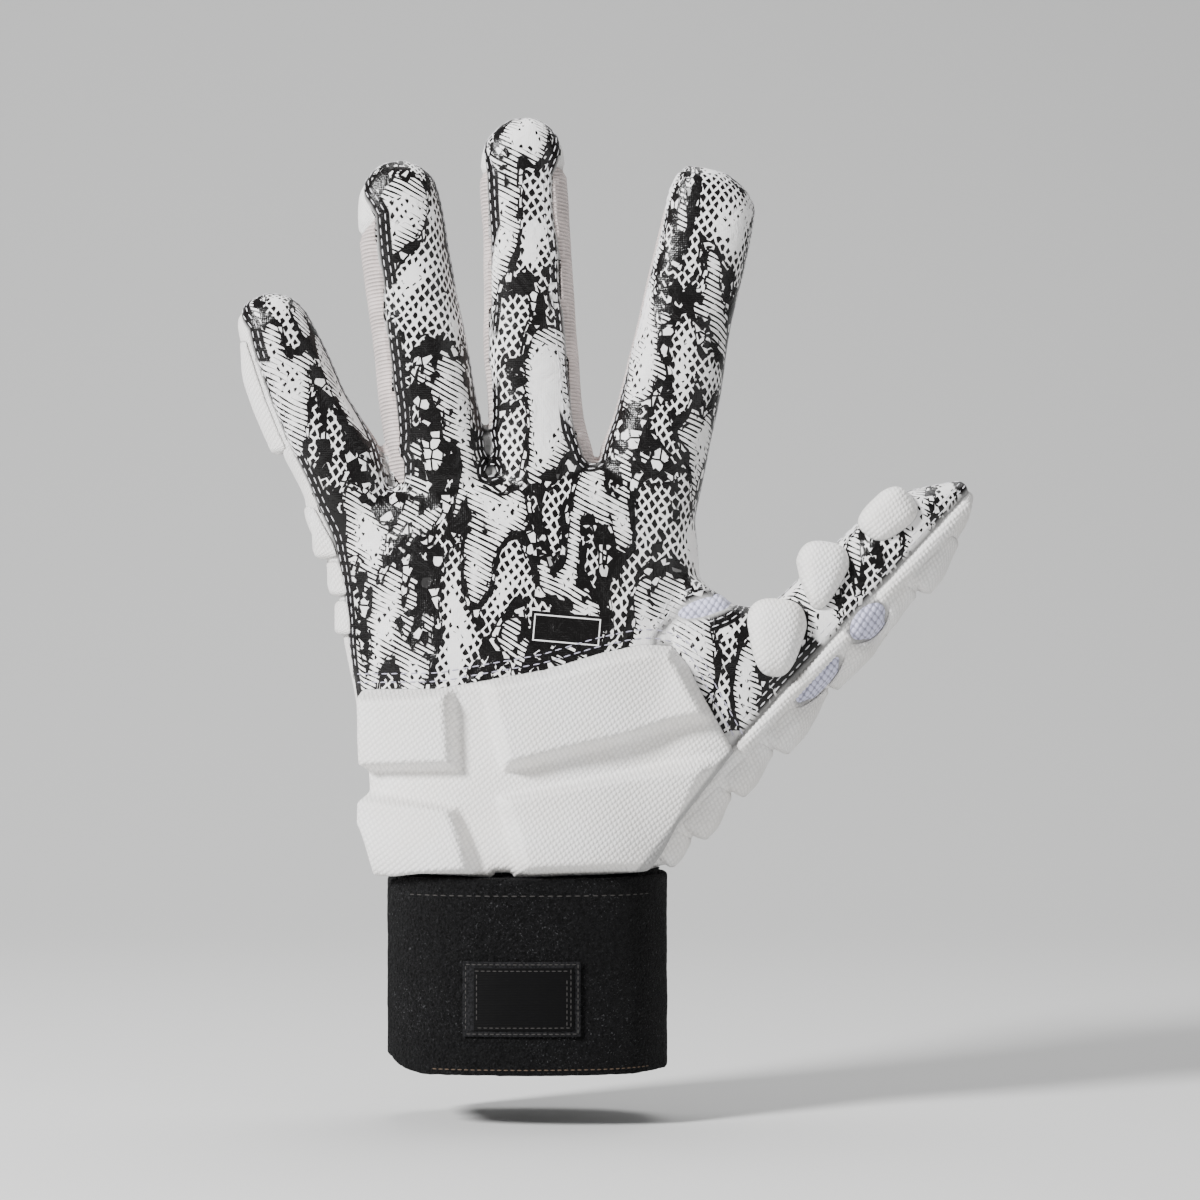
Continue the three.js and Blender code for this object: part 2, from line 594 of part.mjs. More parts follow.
function ellipsoid(centre, depthAt, halves, lean) {
  const geometry = new THREE.SphereGeometry(1, PAD_SIDES, PAD_RINGS);
  const position = geometry.getAttribute('position');
  for (let i = 0; i < position.count; i += 1) {
    position.setXYZ(
      i,
      rounded(position.getX(i), PAD_SQUARENESS) * halves.across,
      rounded(position.getY(i), PAD_SQUARENESS) * halves.depth,
      rounded(position.getZ(i), PAD_SQUARENESS) * halves.along,
    );
  }
  geometry.rotateY(THREE.MathUtils.degToRad(lean));
  geometry.translate(centre.x, depthAt, centre.z);
  return solidOf(geometry);
}

function limbPad(limb, pad) {
  return ellipsoid(
    limbPlace(limb, pad.along * limb.length, pad.across * limb.breadth),
    -pad.ahead * limb.depth,
    {
      along: pad.halfLength * limb.length,
      across: pad.halfBreadth * limb.breadth,
      depth: pad.halfDepth * limb.depth,
    },
    limb.lean,
  );
}

function handEdgePad(pad) {
  return ellipsoid(
    palmPlace(pad),
    0,
    {
      along: pad.halfHeight * PALM_DEPTH,
      across: pad.halfBreadth * PALM_DEPTH,
      depth: pad.halfDepth * PALM_DEPTH,
    },
    0,
  );
}

// Heel pad: a thin base with four raised segments whose sides slope back
function heelPadSolid(seat) {
  const rear = -PALM_DEPTH * HEEL_PAD_REAR;
  const base = handSolid(HEEL_PAD_BASE).intersect(prism(HEEL_PAD_OUTLINE.map(palmPlace), -FAR, rear));
  const crown = handSolid(HEEL_PAD_THICKNESS);
  const slopeFoot = -PALM_DEPTH * HEEL_PAD_SLOPE_FOOT - HEEL_PAD_BASE;
  const slopeTop = slopeFoot - HEEL_PAD_THICKNESS;
  const segments = HEEL_PAD_SEGMENTS.map((segment) => {
    const outline = segment.map(palmPlace);
    const block = slopedPrism(outline, grownOutline(outline, -HEEL_PAD_BEVEL), slopeTop, slopeFoot);
    return prism(outline, slopeFoot - SEAM_GAP, rear).add(block).intersect(crown);
  });
  return joined([base, ...segments]).subtract(seat);
}

// Rolled edge laid over the thumb's front seam, between two shares of its length
function pipingSolid(fromShare, toShare) {
  const points = [];
  for (let i = 0; i <= PIPING_MARKS; i += 1) {
    const share = THREE.MathUtils.lerp(fromShare, toShare, i / PIPING_MARKS);
    const across = PIPING_RADIUS;
    const spot = limbPlace(THUMB, share * THUMB_LENGTH, across);
    const front = surfaceAhead(THUMB, share, across);
    points.push(new THREE.Vector3(spot.x, -front - SEAT_GAP - PIPING_RADIUS * PIPING_LIFT, spot.z));
  }
  const path = new THREE.CatmullRomCurve3(points);
  const section = new THREE.Shape();
  section.absarc(0, 0, PIPING_RADIUS, 0, 2 * Math.PI);
  return solidOf(new THREE.ExtrudeGeometry(section, {
    extrudePath: path, steps: PIPING_STEPS, curveSegments: PIPING_SIDES,
  }));
}

// How far a limb's front stands ahead of its middle at a place on it
function surfaceAhead(limb, share, across) {
  const rows = limb.rows;
  const above = Math.max(rows.findIndex((row) => row.along >= share), 1);
  const low = rows[above - 1];
  const high = rows[above];
  const blend = (share - low.along) / (high.along - low.along);
  const value = (name, size) => THREE.MathUtils.lerp(low[name], high[name], blend) * size;
  const left = value('left', limb.breadth);
  const right = value('right', limb.breadth);
  const offset = Math.abs(across - (right - left) / 2) / ((right + left) / 2);
  return value('front', limb.depth) * (1 - Math.min(offset, 1) ** SQUARENESS) ** (1 / SQUARENESS);
}

// Strap: one flat band wound round the wrist, its free end lying over its start

function wristOutline(angle, shift) {
  const turnX = rounded(Math.cos(angle));
  const turnY = rounded(Math.sin(angle));
  return new THREE.Vector2(
    turnX * (WRIST_BREADTH / 2 + shift),
    turnY * (WRIST_DEPTH / 2 + shift),
  );
}

function strapSolid() {
  const start = THREE.MathUtils.degToRad(STRAP_START_ANGLE);
  const end = THREE.MathUtils.degToRad(STRAP_END_ANGLE);
  const riseFrom = 360 - STRAP_START_ANGLE - STRAP_RISE_FROM;
  const riseTo = 360 - STRAP_START_ANGLE - STRAP_RISE_TO;
  const geometry = new THREE.BoxGeometry(1, 1, 1, STRAP_STEPS, 1, 1);
  const position = geometry.getAttribute('position');
  for (let i = 0; i < position.count; i += 1) {
    const share = position.getX(i) + 0.5;
    const angle = THREE.MathUtils.lerp(start, end, share);
    const rise = THREE.MathUtils.smoothstep(-THREE.MathUtils.radToDeg(angle), riseFrom, riseTo);
    const lift = SEAT_GAP + rise * (STRAP_THICKNESS + SEAT_GAP);
    const spot = wristOutline(angle, lift + (position.getY(i) + 0.5) * STRAP_THICKNESS);
    const toEnd = spot.distanceTo(wristOutline(end, lift));
    const inCorner = share > 0.5 ? Math.max(1 - toEnd / STRAP_CORNER, 0) : 0;
    const foot = STRAP_CORNER * (1 - Math.sqrt(1 - inCorner ** 2));
    position.setXYZ(i, spot.x, spot.y, position.getZ(i) < 0 ? foot : STRAP_HEIGHT);
  }
  return solidOf(geometry);
}

function labelSolid() {
  const sheet = (shift) => {
    const sections = [0, STRAP_HEIGHT].map((along) => ({
      along,
      left: WRIST_BREADTH / 2 + shift,
      right: WRIST_BREADTH / 2 + shift,
      front: WRIST_DEPTH / 2 + shift,
      back: WRIST_DEPTH / 2 + shift,
    }));
    return loft(sections, 2 * PALM_SIDES, (along, across) => ({ x: across, z: along }));
  };
  const seat = 3 * SEAT_GAP + 2 * STRAP_THICKNESS;
  const patch = prism([
    { x: LABEL_CENTRE_X - LABEL_WIDTH / 2, z: LABEL_CENTRE_Z - LABEL_HEIGHT / 2 },
    { x: LABEL_CENTRE_X + LABEL_WIDTH / 2, z: LABEL_CENTRE_Z - LABEL_HEIGHT / 2 },
    { x: LABEL_CENTRE_X + LABEL_WIDTH / 2, z: LABEL_CENTRE_Z + LABEL_HEIGHT / 2 },
    { x: LABEL_CENTRE_X - LABEL_WIDTH / 2, z: LABEL_CENTRE_Z + LABEL_HEIGHT / 2 },
  ], -FAR, 0);
  return sheet(seat + LABEL_THICKNESS).subtract(sheet(seat)).intersect(patch);
}

// The fingers bow forward above the knuckles

function bowed(geometry) {
  const knuckles = STRAP_HEIGHT + PALM_LENGTH * FINGER_BOW_START;
  const position = geometry.getAttribute('position');
  for (let i = 0; i < position.count; i += 1) {
    const share = Math.max(position.getZ(i) - knuckles, 0) / MIDDLE_FINGER_LENGTH;
    position.setY(i, position.getY(i) - FINGER_BOW * share ** 2);
  }
  geometry.computeVertexNormals();
  return geometry;
}

function piece(name, solid, finish) {
  const material = new THREE.MeshStandardMaterial({ ...finish, metalness: 0 });
  const mesh = new THREE.Mesh(bowed(geometryOf(solid)), material);
  mesh.name = name;
  return mesh;
}

// Shell of the glove and its panels

const outside = handSolid(0);
const inside = handSolid(-PANEL_WALL);
const seat = handSolid(SEAT_GAP);
const shell = outside.subtract(inside);
const half = SEAM_GAP / 2;

const vents = [
  ['mesh_vent_thumb_upper', THUMB_VENT_UPPER],
  ['mesh_vent_thumb_lower', THUMB_VENT_LOWER],
  ['mesh_vent_web', WEB_VENT],
];
const fingerPairs = [
  ['sidewall_little_ring', LITTLE_FINGER, RING_FINGER],
  ['sidewall_ring_middle', RING_FINGER, MIDDLE_FINGER],
  ['sidewall_middle_index', MIDDLE_FINGER, INDEX_FINGER],
];

const glove = shell.intersect(aboveCuff(half));
const gloveFront = glove.intersect(frontBlock(-half));
const gloveRear = glove.subtract(frontBlock(half));
const ventHoles = joined(vents.map(([, vent]) => ventRegion(vent, half)));
const sidewallHoles = joined(fingerPairs.map(([, left, right]) => sidewallRegion(left, right, half)));

const printed = gloveFront.subtract(thumbFrontRegion(half)).subtract(ventHoles);
const palmPanel = printed.subtract(thumbGripRegion(half));
const thumbGrip = printed.intersect(thumbGripRegion(-half));
const thumbFront = glove.intersect(thumbFrontRegion(-half));
const thumbRear = gloveRear.intersect(thumbBackRegion(-half));
const thumbPanel = thumbFront.add(thumbRear).subtract(ventHoles);
const backs = gloveRear.subtract(sidewallHoles).subtract(thumbBackRegion(half));
const backPanel = backs.subtract(aboveKnuckles(-half));
const fingerBacks = backs.intersect(aboveKnuckles(half));
const cuff = shell.subtract(aboveCuff(-half));

const group = new THREE.Group();
group.add(piece('palm_grip_panel', palmPanel, FINISHES.print));
group.add(piece('thumb_grip_panel', thumbGrip, FINISHES.print));
group.add(piece('back_panel', backPanel, FINISHES.white));
group.add(piece('finger_back_panel', fingerBacks, FINISHES.white));
group.add(piece('thumb_outer_panel', thumbPanel, FINISHES.white));

fingerPairs.forEach(([name, left, right]) => {
  const strip = gloveRear.intersect(sidewallRegion(left, right, -half));
  group.add(piece(name, strip, FINISHES.knit));
});
vents.forEach(([name, vent]) => {
  const patch = glove.intersect(ventRegion(vent, -half)).intersect(frontBlock(-half));
  group.add(piece(name, patch, FINISHES.mesh));
});

const pads = [
  ...THUMB_PADS.map((pad, i) => [`thumb_pad_${i + 1}`, limbPad(THUMB, pad)]),
  ...THUMB_BACK_PADS.map((pad, i) => [`thumb_back_pad_${i + 1}`, limbPad(THUMB, pad)]),
  ...HAND_EDGE_PADS.map((pad, i) => [`hand_edge_pad_${i + 1}`, handEdgePad(pad)]),
  ['little_finger_pad', limbPad(LITTLE_FINGER, LITTLE_FINGER_PAD)],
];
pads.forEach(([name, pad]) => group.add(piece(name, pad.subtract(seat), FINISHES.white)));

group.add(piece('heel_pad', heelPadSolid(seat), FINISHES.white));
group.add(piece('wrist_cuff', cuff, FINISHES.black));
group.add(piece('wrist_strap', strapSolid(), FINISHES.black));
group.add(piece('strap_label', labelSolid(), FINISHES.label));

const ventShare = VENT_LENGTH / 2 / THUMB_LENGTH;
const pipingRuns = [
  ['thumb_piping_lower', THUMB_SEAM_START, THUMB_VENT_UPPER.along - ventShare],
  ['thumb_piping_upper', THUMB_VENT_UPPER.along + ventShare, PIPING_END],
];
pipingRuns.forEach(([name, from, to]) => {
  group.add(piece(name, pipingSolid(from, to).subtract(seat), FINISHES.white));
});

export default group;
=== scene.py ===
import math

import bmesh
import bpy
import numpy as np
from bpy.props import FloatProperty, FloatVectorProperty, PointerProperty
from mathutils import Matrix, Vector, noise
from mathutils.bvhtree import BVHTree
from mathutils.kdtree import KDTree


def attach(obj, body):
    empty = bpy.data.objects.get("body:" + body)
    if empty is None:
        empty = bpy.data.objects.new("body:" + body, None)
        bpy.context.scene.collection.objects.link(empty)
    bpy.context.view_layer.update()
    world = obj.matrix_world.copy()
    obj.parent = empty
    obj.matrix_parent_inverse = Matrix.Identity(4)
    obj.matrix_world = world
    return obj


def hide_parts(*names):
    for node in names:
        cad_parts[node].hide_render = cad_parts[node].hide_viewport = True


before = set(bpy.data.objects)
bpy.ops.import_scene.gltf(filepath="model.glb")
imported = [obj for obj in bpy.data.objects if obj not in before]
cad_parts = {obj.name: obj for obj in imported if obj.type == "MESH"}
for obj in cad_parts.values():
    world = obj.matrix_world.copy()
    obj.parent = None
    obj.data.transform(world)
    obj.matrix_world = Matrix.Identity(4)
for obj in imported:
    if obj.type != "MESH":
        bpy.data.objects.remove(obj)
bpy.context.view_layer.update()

bl_info = {
    "name": "Padded football glove",
    "version": (1, 0, 0),
    "blender": (4, 5, 0),
    "location": "View3D > Sidebar > Glove",
    "description": "Builds a padded football glove around its solid frame",
    "category": "Object",
}

# Lengths are in millimetres unless a property says otherwise, and meshes are in metres
MM = 0.001
FAR = 200.0

# Driving sizes of the hand, the same as the solids'
WRIST_BREADTH = 67.4
WRIST_DEPTH = 46.6
PALM_BREADTH = 92.0
PALM_LENGTH = 102.0
PALM_DEPTH = 34.0
KNUCKLE_SLOPE = 7.0
FINGER_BOW = 7.0
BOW_START = 0.8
PANEL_WALL = 1.8
SEAT_GAP = 0.3
CUFF_RISE_LITTLE_SIDE = 6.0
CUFF_RISE_THUMB_SIDE = 1.0
STRAP_HEIGHT = 50.0
STRAP_THICKNESS = 2.3
STRAP_START_ANGLE = 292.0
STRAP_END_ANGLE = -155.0
STRAP_CORNER = (15.0, 8.0)
# How much higher the layer under the strap's free end is cut, and over which angles, in radians
UNDER_RISE = 4.2
UNDER_ANGLE = 3.5
UNDER_SPREAD = 0.8
LABEL_SIZE = (30.0, 19.0, 0.9)
LABEL_CENTRE = (-1.0, 19.5)
SQUARENESS = 2.4

# Rows of a section table: place along, then left and right edges, front and back, as shares of the
# named sizes
WRIST_ROWS = (
    (0.00, 0.500, 0.500, 0.500, 0.500),
    (0.55, 0.495, 0.495, 0.495, 0.495),
    (1.02, 0.500, 0.500, 0.495, 0.495),
)
PALM_ROWS = (
    (0.055, 0.410, 0.395, 0.680, 0.640),
    (0.150, 0.432, 0.425, 0.620, 0.600),
    (0.290, 0.455, 0.455, 0.560, 0.550),
    (0.450, 0.485, 0.478, 0.510, 0.520),
    (0.600, 0.515, 0.495, 0.475, 0.500),
    (0.740, 0.535, 0.484, 0.440, 0.480),
    (0.870, 0.580, 0.474, 0.400, 0.445),
    (0.970, 0.622, 0.484, 0.335, 0.385),
    (1.020, 0.630, 0.488, 0.200, 0.240),
)
LITTLE_FINGER_ROWS = (
    (0.000, 0.400, 0.600, 0.50, 0.52),
    (0.200, 0.400, 0.670, 0.55, 0.55),
    (0.380, 0.430, 0.610, 0.55, 0.53),
    (0.540, 0.440, 0.535, 0.52, 0.50),
    (0.700, 0.420, 0.530, 0.50, 0.48),
    (0.850, 0.370, 0.500, 0.46, 0.44),
    (0.950, 0.300, 0.380, 0.36, 0.33),
    (1.000, 0.130, 0.150, 0.16, 0.14),
)
RING_FINGER_ROWS = (
    (0.000, 0.560, 0.480, 0.52, 0.54),
    (0.155, 0.670, 0.530, 0.56, 0.56),
    (0.300, 0.690, 0.510, 0.54, 0.52),
    (0.480, 0.640, 0.498, 0.52, 0.50),
    (0.660, 0.595, 0.485, 0.49, 0.48),
    (0.830, 0.555, 0.490, 0.46, 0.45),
    (0.920, 0.480, 0.470, 0.41, 0.39),
    (0.972, 0.330, 0.350, 0.30, 0.27),
    (1.000, 0.130, 0.160, 0.14, 0.12),
)
MIDDLE_FINGER_ROWS = (
    (0.000, 0.520, 0.540, 0.52, 0.54),
    (0.159, 0.560, 0.640, 0.56, 0.56),
    (0.262, 0.562, 0.545, 0.54, 0.52),
    (0.420, 0.578, 0.510, 0.52, 0.50),
    (0.600, 0.542, 0.486, 0.49, 0.48),
    (0.830, 0.535, 0.465, 0.46, 0.45),
    (0.925, 0.490, 0.430, 0.41, 0.39),
    (0.975, 0.330, 0.310, 0.30, 0.27),
    (1.000, 0.140, 0.130, 0.14, 0.12),
)
INDEX_FINGER_ROWS = (
    (0.000, 0.560, 0.560, 0.52, 0.54),
    (0.190, 0.600, 0.555, 0.56, 0.56),
    (0.283, 0.545, 0.562, 0.54, 0.52),
    (0.420, 0.500, 0.560, 0.52, 0.50),
    (0.580, 0.470, 0.525, 0.49, 0.48),
    (0.830, 0.440, 0.550, 0.45, 0.44),
    (0.910, 0.420, 0.540, 0.42, 0.40),
    (0.965, 0.380, 0.400, 0.34, 0.30),
    (1.000, 0.270, 0.160, 0.18, 0.16),
)
THUMB_ROWS = (
    (0.000, 0.770, 0.190, 0.62, 0.60),
    (0.103, 0.846, 0.358, 0.68, 0.62),
    (0.243, 0.923, 0.325, 0.66, 0.60),
    (0.368, 1.200, 0.345, 0.62, 0.56),
    (0.456, 1.600, 0.350, 0.58, 0.54),
    (0.510, 1.600, 0.342, 0.56, 0.52),
    (0.537, 0.880, 0.330, 0.54, 0.50),
    (0.605, 0.655, 0.330, 0.52, 0.48),
    (0.772, 0.615, 0.300, 0.50, 0.46),
    (0.875, 0.545, 0.280, 0.45, 0.42),
    (0.950, 0.330, 0.210, 0.33, 0.31),
    (1.000, 0.140, 0.050, 0.15, 0.15),
)

# Each limb: root as shares of the palm, lean in degrees, length, breadth and depth, how far its front
# seam lies in front of the middle on either side as a share of its depth, and its rows
LIMBS = {
    "little": {"root": (-0.489, 0.873), "lean": -23.0, "size": (65.0, 22.0, 18.0),
               "seam": (0.42, -0.08), "rows": LITTLE_FINGER_ROWS},
    "ring": {"root": (-0.196, 0.873), "lean": -10.0, "size": (96.0, 21.5, 19.0),
             "seam": (0.42, -0.04), "rows": RING_FINGER_ROWS},
    "middle": {"root": (0.041, 0.873), "lean": -2.5, "size": (106.0, 22.5, 19.5),
               "seam": (0.27, 0.36), "rows": MIDDLE_FINGER_ROWS},
    "index": {"root": (0.321, 0.873), "lean": 11.2, "size": (94.5, 24.0, 19.5),
              "seam": (0.10, -0.12), "rows": INDEX_FINGER_ROWS},
    "thumb": {"root": (0.239, 0.001), "lean": 43.2, "size": (136.0, 26.0, 24.0),
              "seam": None, "rows": THUMB_ROWS},
}
FINGERS = ("little", "ring", "middle", "index")
MIDDLE_FINGER_LENGTH = LIMBS["middle"]["size"][0]
THUMB_LENGTH = LIMBS["thumb"]["size"][0]
THUMB_BREADTH = LIMBS["thumb"]["size"][1]
THUMB_SEAM_BEYOND = 0.15
THUMB_SEAM_BEHIND = 0.06
BACK_SEAM = 0.24
TIP_SEAM = 0.12
SIDEWALL_START = 0.05
SIDEWALL_END = 0.90

# Corners as shares of the palm's breadth and of its length above the strap
HEEL_PAD_OUTLINE = (
    (-0.490, 0.462), (-0.242, 0.466), (-0.118, 0.486), (0.053, 0.513), (0.208, 0.555), (0.324, 0.577),
    (0.401, 0.570), (0.448, 0.527), (0.489, 0.450), (0.573, 0.315), (0.304, 0.012), (-0.030, 0.004),
    (-0.042, 0.017), (-0.086, 0.017), (-0.098, 0.004), (-0.312, 0.012), (-0.378, 0.026), (-0.430, 0.156),
    (-0.478, 0.338),
)
HEEL_PAD_SEGMENTS = (
    ((-0.500, 0.500), (-0.196, 0.500), (-0.171, 0.259), (-0.500, 0.262)),
    ((-0.132, 0.530), (0.053, 0.560), (0.208, 0.605), (0.324, 0.620), (0.420, 0.600), (0.470, 0.540),
     (0.500, 0.460), (0.520, 0.392), (-0.063, 0.256)),
    ((-0.500, 0.232), (-0.183, 0.170), (-0.092, -0.040), (-0.400, -0.040), (-0.500, 0.140)),
    ((-0.078, 0.196), (0.570, 0.318), (0.620, 0.300), (0.330, -0.040), (0.002, -0.040)),
)
# The band that slopes down to the thumb's seam: its foot and its crest, as shares of the palm
HEEL_BAND_FOOT = ((0.578, 0.322), (0.304, 0.008))
HEEL_BAND_CREST = ((0.492, 0.318), (0.286, -0.004))

# Pads on the thumb's inner side: place along, across and ahead, then half sizes, as shares of its length,
# breadth and depth, then the lean in degrees and how much the lower end narrows
THUMB_PADS = (
    (0.537, -0.420, 0.36, 0.075, 0.31, 0.40, 4.0, 0.30),
    (0.682, -0.500, 0.26, 0.068, 0.27, 0.40, 8.0, 0.50),
    (0.853, -0.430, 0.22, 0.058, 0.23, 0.36, 50.0, 0.10),
)
# Pads on the thumb's outer side: start and end as shares of its length, reach across as a share of its
# breadth
THUMB_BACK_PADS = (
    (0.080, 0.152, 0.430),
    (0.157, 0.265, 0.480),
    (0.269, 0.380, 0.460),
    (0.384, 0.536, 0.490),
    (0.542, 0.786, 0.430),
    (0.792, 0.914, 0.415),
)
LITTLE_FINGER_PAD = (0.385, 0.895, 0.560)

# Pads on the hand's outer edge: start and end as shares of the palm's length, reach as a share of its
# breadth
HAND_EDGE_PADS = (
    (0.602, 0.694, 0.544),
    (0.702, 0.794, 0.566),
    (0.798, 0.934, 0.609),
)

# Vents: place as shares of the thumb's length and breadth, half length and half breadth, turn in degrees
VENTS = {
    "mesh_vent_thumb_upper": (0.680, 0.150, 5.75, 3.75, 0.0),
    "mesh_vent_thumb_lower": (0.535, 0.190, 7.76, 2.44, 0.0),
    "mesh_vent_web": (0.492, -1.140, 7.76, 2.33, 30.0),
}
THUMB_SEAM_START = 0.335
PIPING_RUNS = {
    "thumb_piping_lower": (0.335, 0.638),
    "thumb_piping_upper": (0.722, 0.975),
}
THUMB_PANEL_FRONT_FOOT = (0.300, -0.010)
THUMB_PANEL_BACK_FOOT = (0.270, -0.010)
THUMB_PANEL_BACK_HEAD = (0.500, 0.735)
THUMB_PANEL_BACK_TOP = (0.760, 0.950)
THUMB_GRIP_SEAM = ((0.366, -0.100), (0.366, 0.600), (0.430, 0.660), (0.610, 0.720))
KNUCKLE_SEAM = 0.800
# Places on the front, across and up, and half sizes
SEAM_TAB = (53.6, 82.0)
PRINTED_PATCH_CENTRE = (10.3, 113.0)
PRINTED_PATCH_HALVES = (8.9, 3.8)

# How square a crowned pad is; 2 is round
PAD_SQUARENESS = 3.0

# How deep a pad's underside starts below the hand's surface before it is cut off there
SUNK = 1.6

# The heel pad's block, and the grain, the steps and the places between which its base is evened out
HEEL_BLOCK = ((-60, 40), (66, 40), (66, 125), (-60, 125))
EVEN_GRAIN = 1.8
EVEN_STEPS = 45
EVEN_PLACES = (0, 18)

PIPING_RADIUS = 1.75
PIPING_STEP = 0.32
PIPING_RIB = 1.25

# The floor's run from front to back, its flat part and the radius of its rise, in metres
FLOOR_RUN = 4.2
FLOOR_FLAT = 2.2
FLOOR_FRONT = 1.6
FLOOR_RADIUS = 0.9

# The camera's distance and place in metres, and the picture's side in metres at the glove
CAMERA_PLACE = (0.01885, -1.1, 0.12064)
PICTURE_SIDE = 0.312
SENSOR = 36

# Forms that several pieces are cut from, by name
forms = {}


class GloveSizes(bpy.types.PropertyGroup):
    """Sizes of the cloth, the padding and the sewing."""

    heel_base: FloatProperty(name="Heel pad base", description="Thickness in the pad's grooves, in mm",
                             default=3.2, min=1.0, max=6.0)
    heel_rise: FloatProperty(name="Heel pad rise", description="Height of the segments over the base, in mm",
                             default=6.3, min=1.0, max=9.0)
    heel_slope: FloatProperty(name="Heel pad slope", description="Width of a segment's sloping side, in mm",
                              default=2.6, min=1.5, max=9.0)
    seam_depth: FloatProperty(name="Seam depth", description="How far a panel's edge is drawn in, in mm",
                              default=0.75, min=0.0, max=2.0)
    seam_width: FloatProperty(name="Seam width", description="How wide the drawn-in edge is, in mm",
                              default=2.0, min=0.5, max=5.0)
    stitch_length: FloatProperty(name="Stitch length", description="Length of one stitch, in mm",
                                 default=1.9, min=0.5, max=5.0)
    stitch_pitch: FloatProperty(name="Stitch pitch", description="Distance from stitch to stitch, in mm",
                                default=2.7, min=0.8, max=8.0)
    thread: FloatProperty(name="Thread", description="Thickness of the thread, in mm",
                          default=0.34, min=0.1, max=1.0)
    fineness: FloatProperty(name="Fineness", description="Grain of the modelled cloth surface, in mm",
                            default=0.85, min=0.5, max=3.0)


class GloveColours(bpy.types.PropertyGroup):
    """Colours of the cloth and thread."""

    white: FloatVectorProperty(name="White cloth", description="Colour of the white cloth", subtype="COLOR",
                               default=(0.86, 0.85, 0.84), min=0, max=1)
    print_white: FloatVectorProperty(name="Print ground", description="Light colour of the printed palm",
                                     subtype="COLOR", default=(0.84, 0.83, 0.825), min=0, max=1)
    print_black: FloatVectorProperty(name="Print black", description="Dark colour of the printed palm",
                                     subtype="COLOR", default=(0.004, 0.0035, 0.0035), min=0, max=1)
    knit: FloatVectorProperty(name="Knit", description="Colour of the ribbed knit", subtype="COLOR",
                              default=(0.60, 0.52, 0.50), min=0, max=1)
    mesh: FloatVectorProperty(name="Mesh", description="Colour of the mesh vents", subtype="COLOR",
                              default=(0.50, 0.50, 0.66), min=0, max=1)
    strap: FloatVectorProperty(name="Strap", description="Colour of the strap", subtype="COLOR",
                               default=(0.004, 0.004, 0.0043), min=0, max=1)


# Smooth readings of the section tables

def eased(marks, values, places):
    """Values between the marks on a smooth curve that never swings past them."""
    marks = np.asarray(marks, float)
    values = np.asarray(values, float)
    steps = np.diff(marks)
    slopes = np.diff(values) / steps
    tangents = np.concatenate(([slopes[0]], np.zeros(len(marks) - 2), [slopes[-1]]))
    for i in range(1, len(marks) - 1):
        if slopes[i - 1] * slopes[i] > 0:
            before = 2 * steps[i] + steps[i - 1]
            after = steps[i] + 2 * steps[i - 1]
            tangents[i] = (before + after) / (before / slopes[i - 1] + after / slopes[i])
    k = np.clip(np.searchsorted(marks, places) - 1, 0, len(steps) - 1)
    t = (places - marks[k]) / steps[k]
    start = (1 + 2 * t) * (1 - t) ** 2 * values[k] + t * (1 - t) ** 2 * steps[k] * tangents[k]
    end = t * t * (3 - 2 * t) * values[k + 1] + t * t * (t - 1) * steps[k] * tangents[k + 1]
    return start + end


def fine_sections(rows, sizes, grow, rings):
    """Sections in millimetres at even steps along, each grown outwards."""
    length, breadth, depth = sizes
    table = np.array(rows)
    places = np.linspace(table[0, 0], table[-1, 0], rings + 1)
    columns = [eased(table[:, 0], table[:, i], places) for i in range(1, 5)]
    along = places * length
    along[-1] += grow
    scales = (breadth, breadth, depth, depth)
    return np.column_stack([along] + [column * scale + grow for column, scale in zip(columns, scales)])


def hand_sections(grow, rings):
    """Sections of the wrist and the palm in one stack."""
    wrist = np.array(WRIST_ROWS) * (STRAP_HEIGHT, WRIST_BREADTH, WRIST_BREADTH, WRIST_DEPTH, WRIST_DEPTH)
    palm = np.array(PALM_ROWS) * (PALM_LENGTH, PALM_BREADTH, PALM_BREADTH, PALM_DEPTH, PALM_DEPTH)
    palm[:, 0] += STRAP_HEIGHT
    stack = np.vstack((wrist, palm))
    sections = fine_sections(stack, (1, 1, 1), 0, rings)
    sections[:, 1:] += grow
    sections[0, 0] -= abs(grow)
    sections[-1, 0] += grow
    return sections


def palm_place(share):
    return share[0] * PALM_BREADTH, STRAP_HEIGHT + share[1] * PALM_LENGTH


def limb_place(name, along, across):
    """x and z of a place along and across a limb, in millimetres."""
    lean = math.radians(LIMBS[name]["lean"])
    x, z = palm_place(LIMBS[name]["root"])
    return (x + along * math.sin(lean) + across * math.cos(lean),
            z + along * math.cos(lean) - across * math.sin(lean))


def rounded(value, squareness=SQUARENESS):
    return math.copysign(abs(value) ** (2 / squareness), value)


def smoothstep(value, low, high):
    t = min(max((value - low) / (high - low), 0), 1)
    return t * t * (3 - 2 * t)


def bow(z):
    """How far the fingers bend forward at a height, in millimetres."""
    return FINGER_BOW * (max(z - STRAP_HEIGHT - PALM_LENGTH * BOW_START, 0) / MIDDLE_FINGER_LENGTH) ** 2


# Making and finishing objects

def put_back(bm, piece):
    """Makes a bmesh in millimetres an object's mesh."""
    bmesh.ops.scale(bm, vec=(MM, MM, MM), verts=bm.verts)
    bm.to_mesh(piece.data)
    bm.free()
    return piece


def object_of(name, bm):
    """A new object from a bmesh in millimetres."""
    made = bpy.data.objects.new(name, bpy.data.meshes.new(name))
    bpy.context.scene.collection.objects.link(made)
    return put_back(bm, made)


def bmesh_of(piece):
    """An object's mesh as a bmesh in millimetres."""
    bm = bmesh.new()
    bm.from_mesh(piece.data)
    bmesh.ops.scale(bm, vec=(1 / MM, 1 / MM, 1 / MM), verts=bm.verts)
    return bm


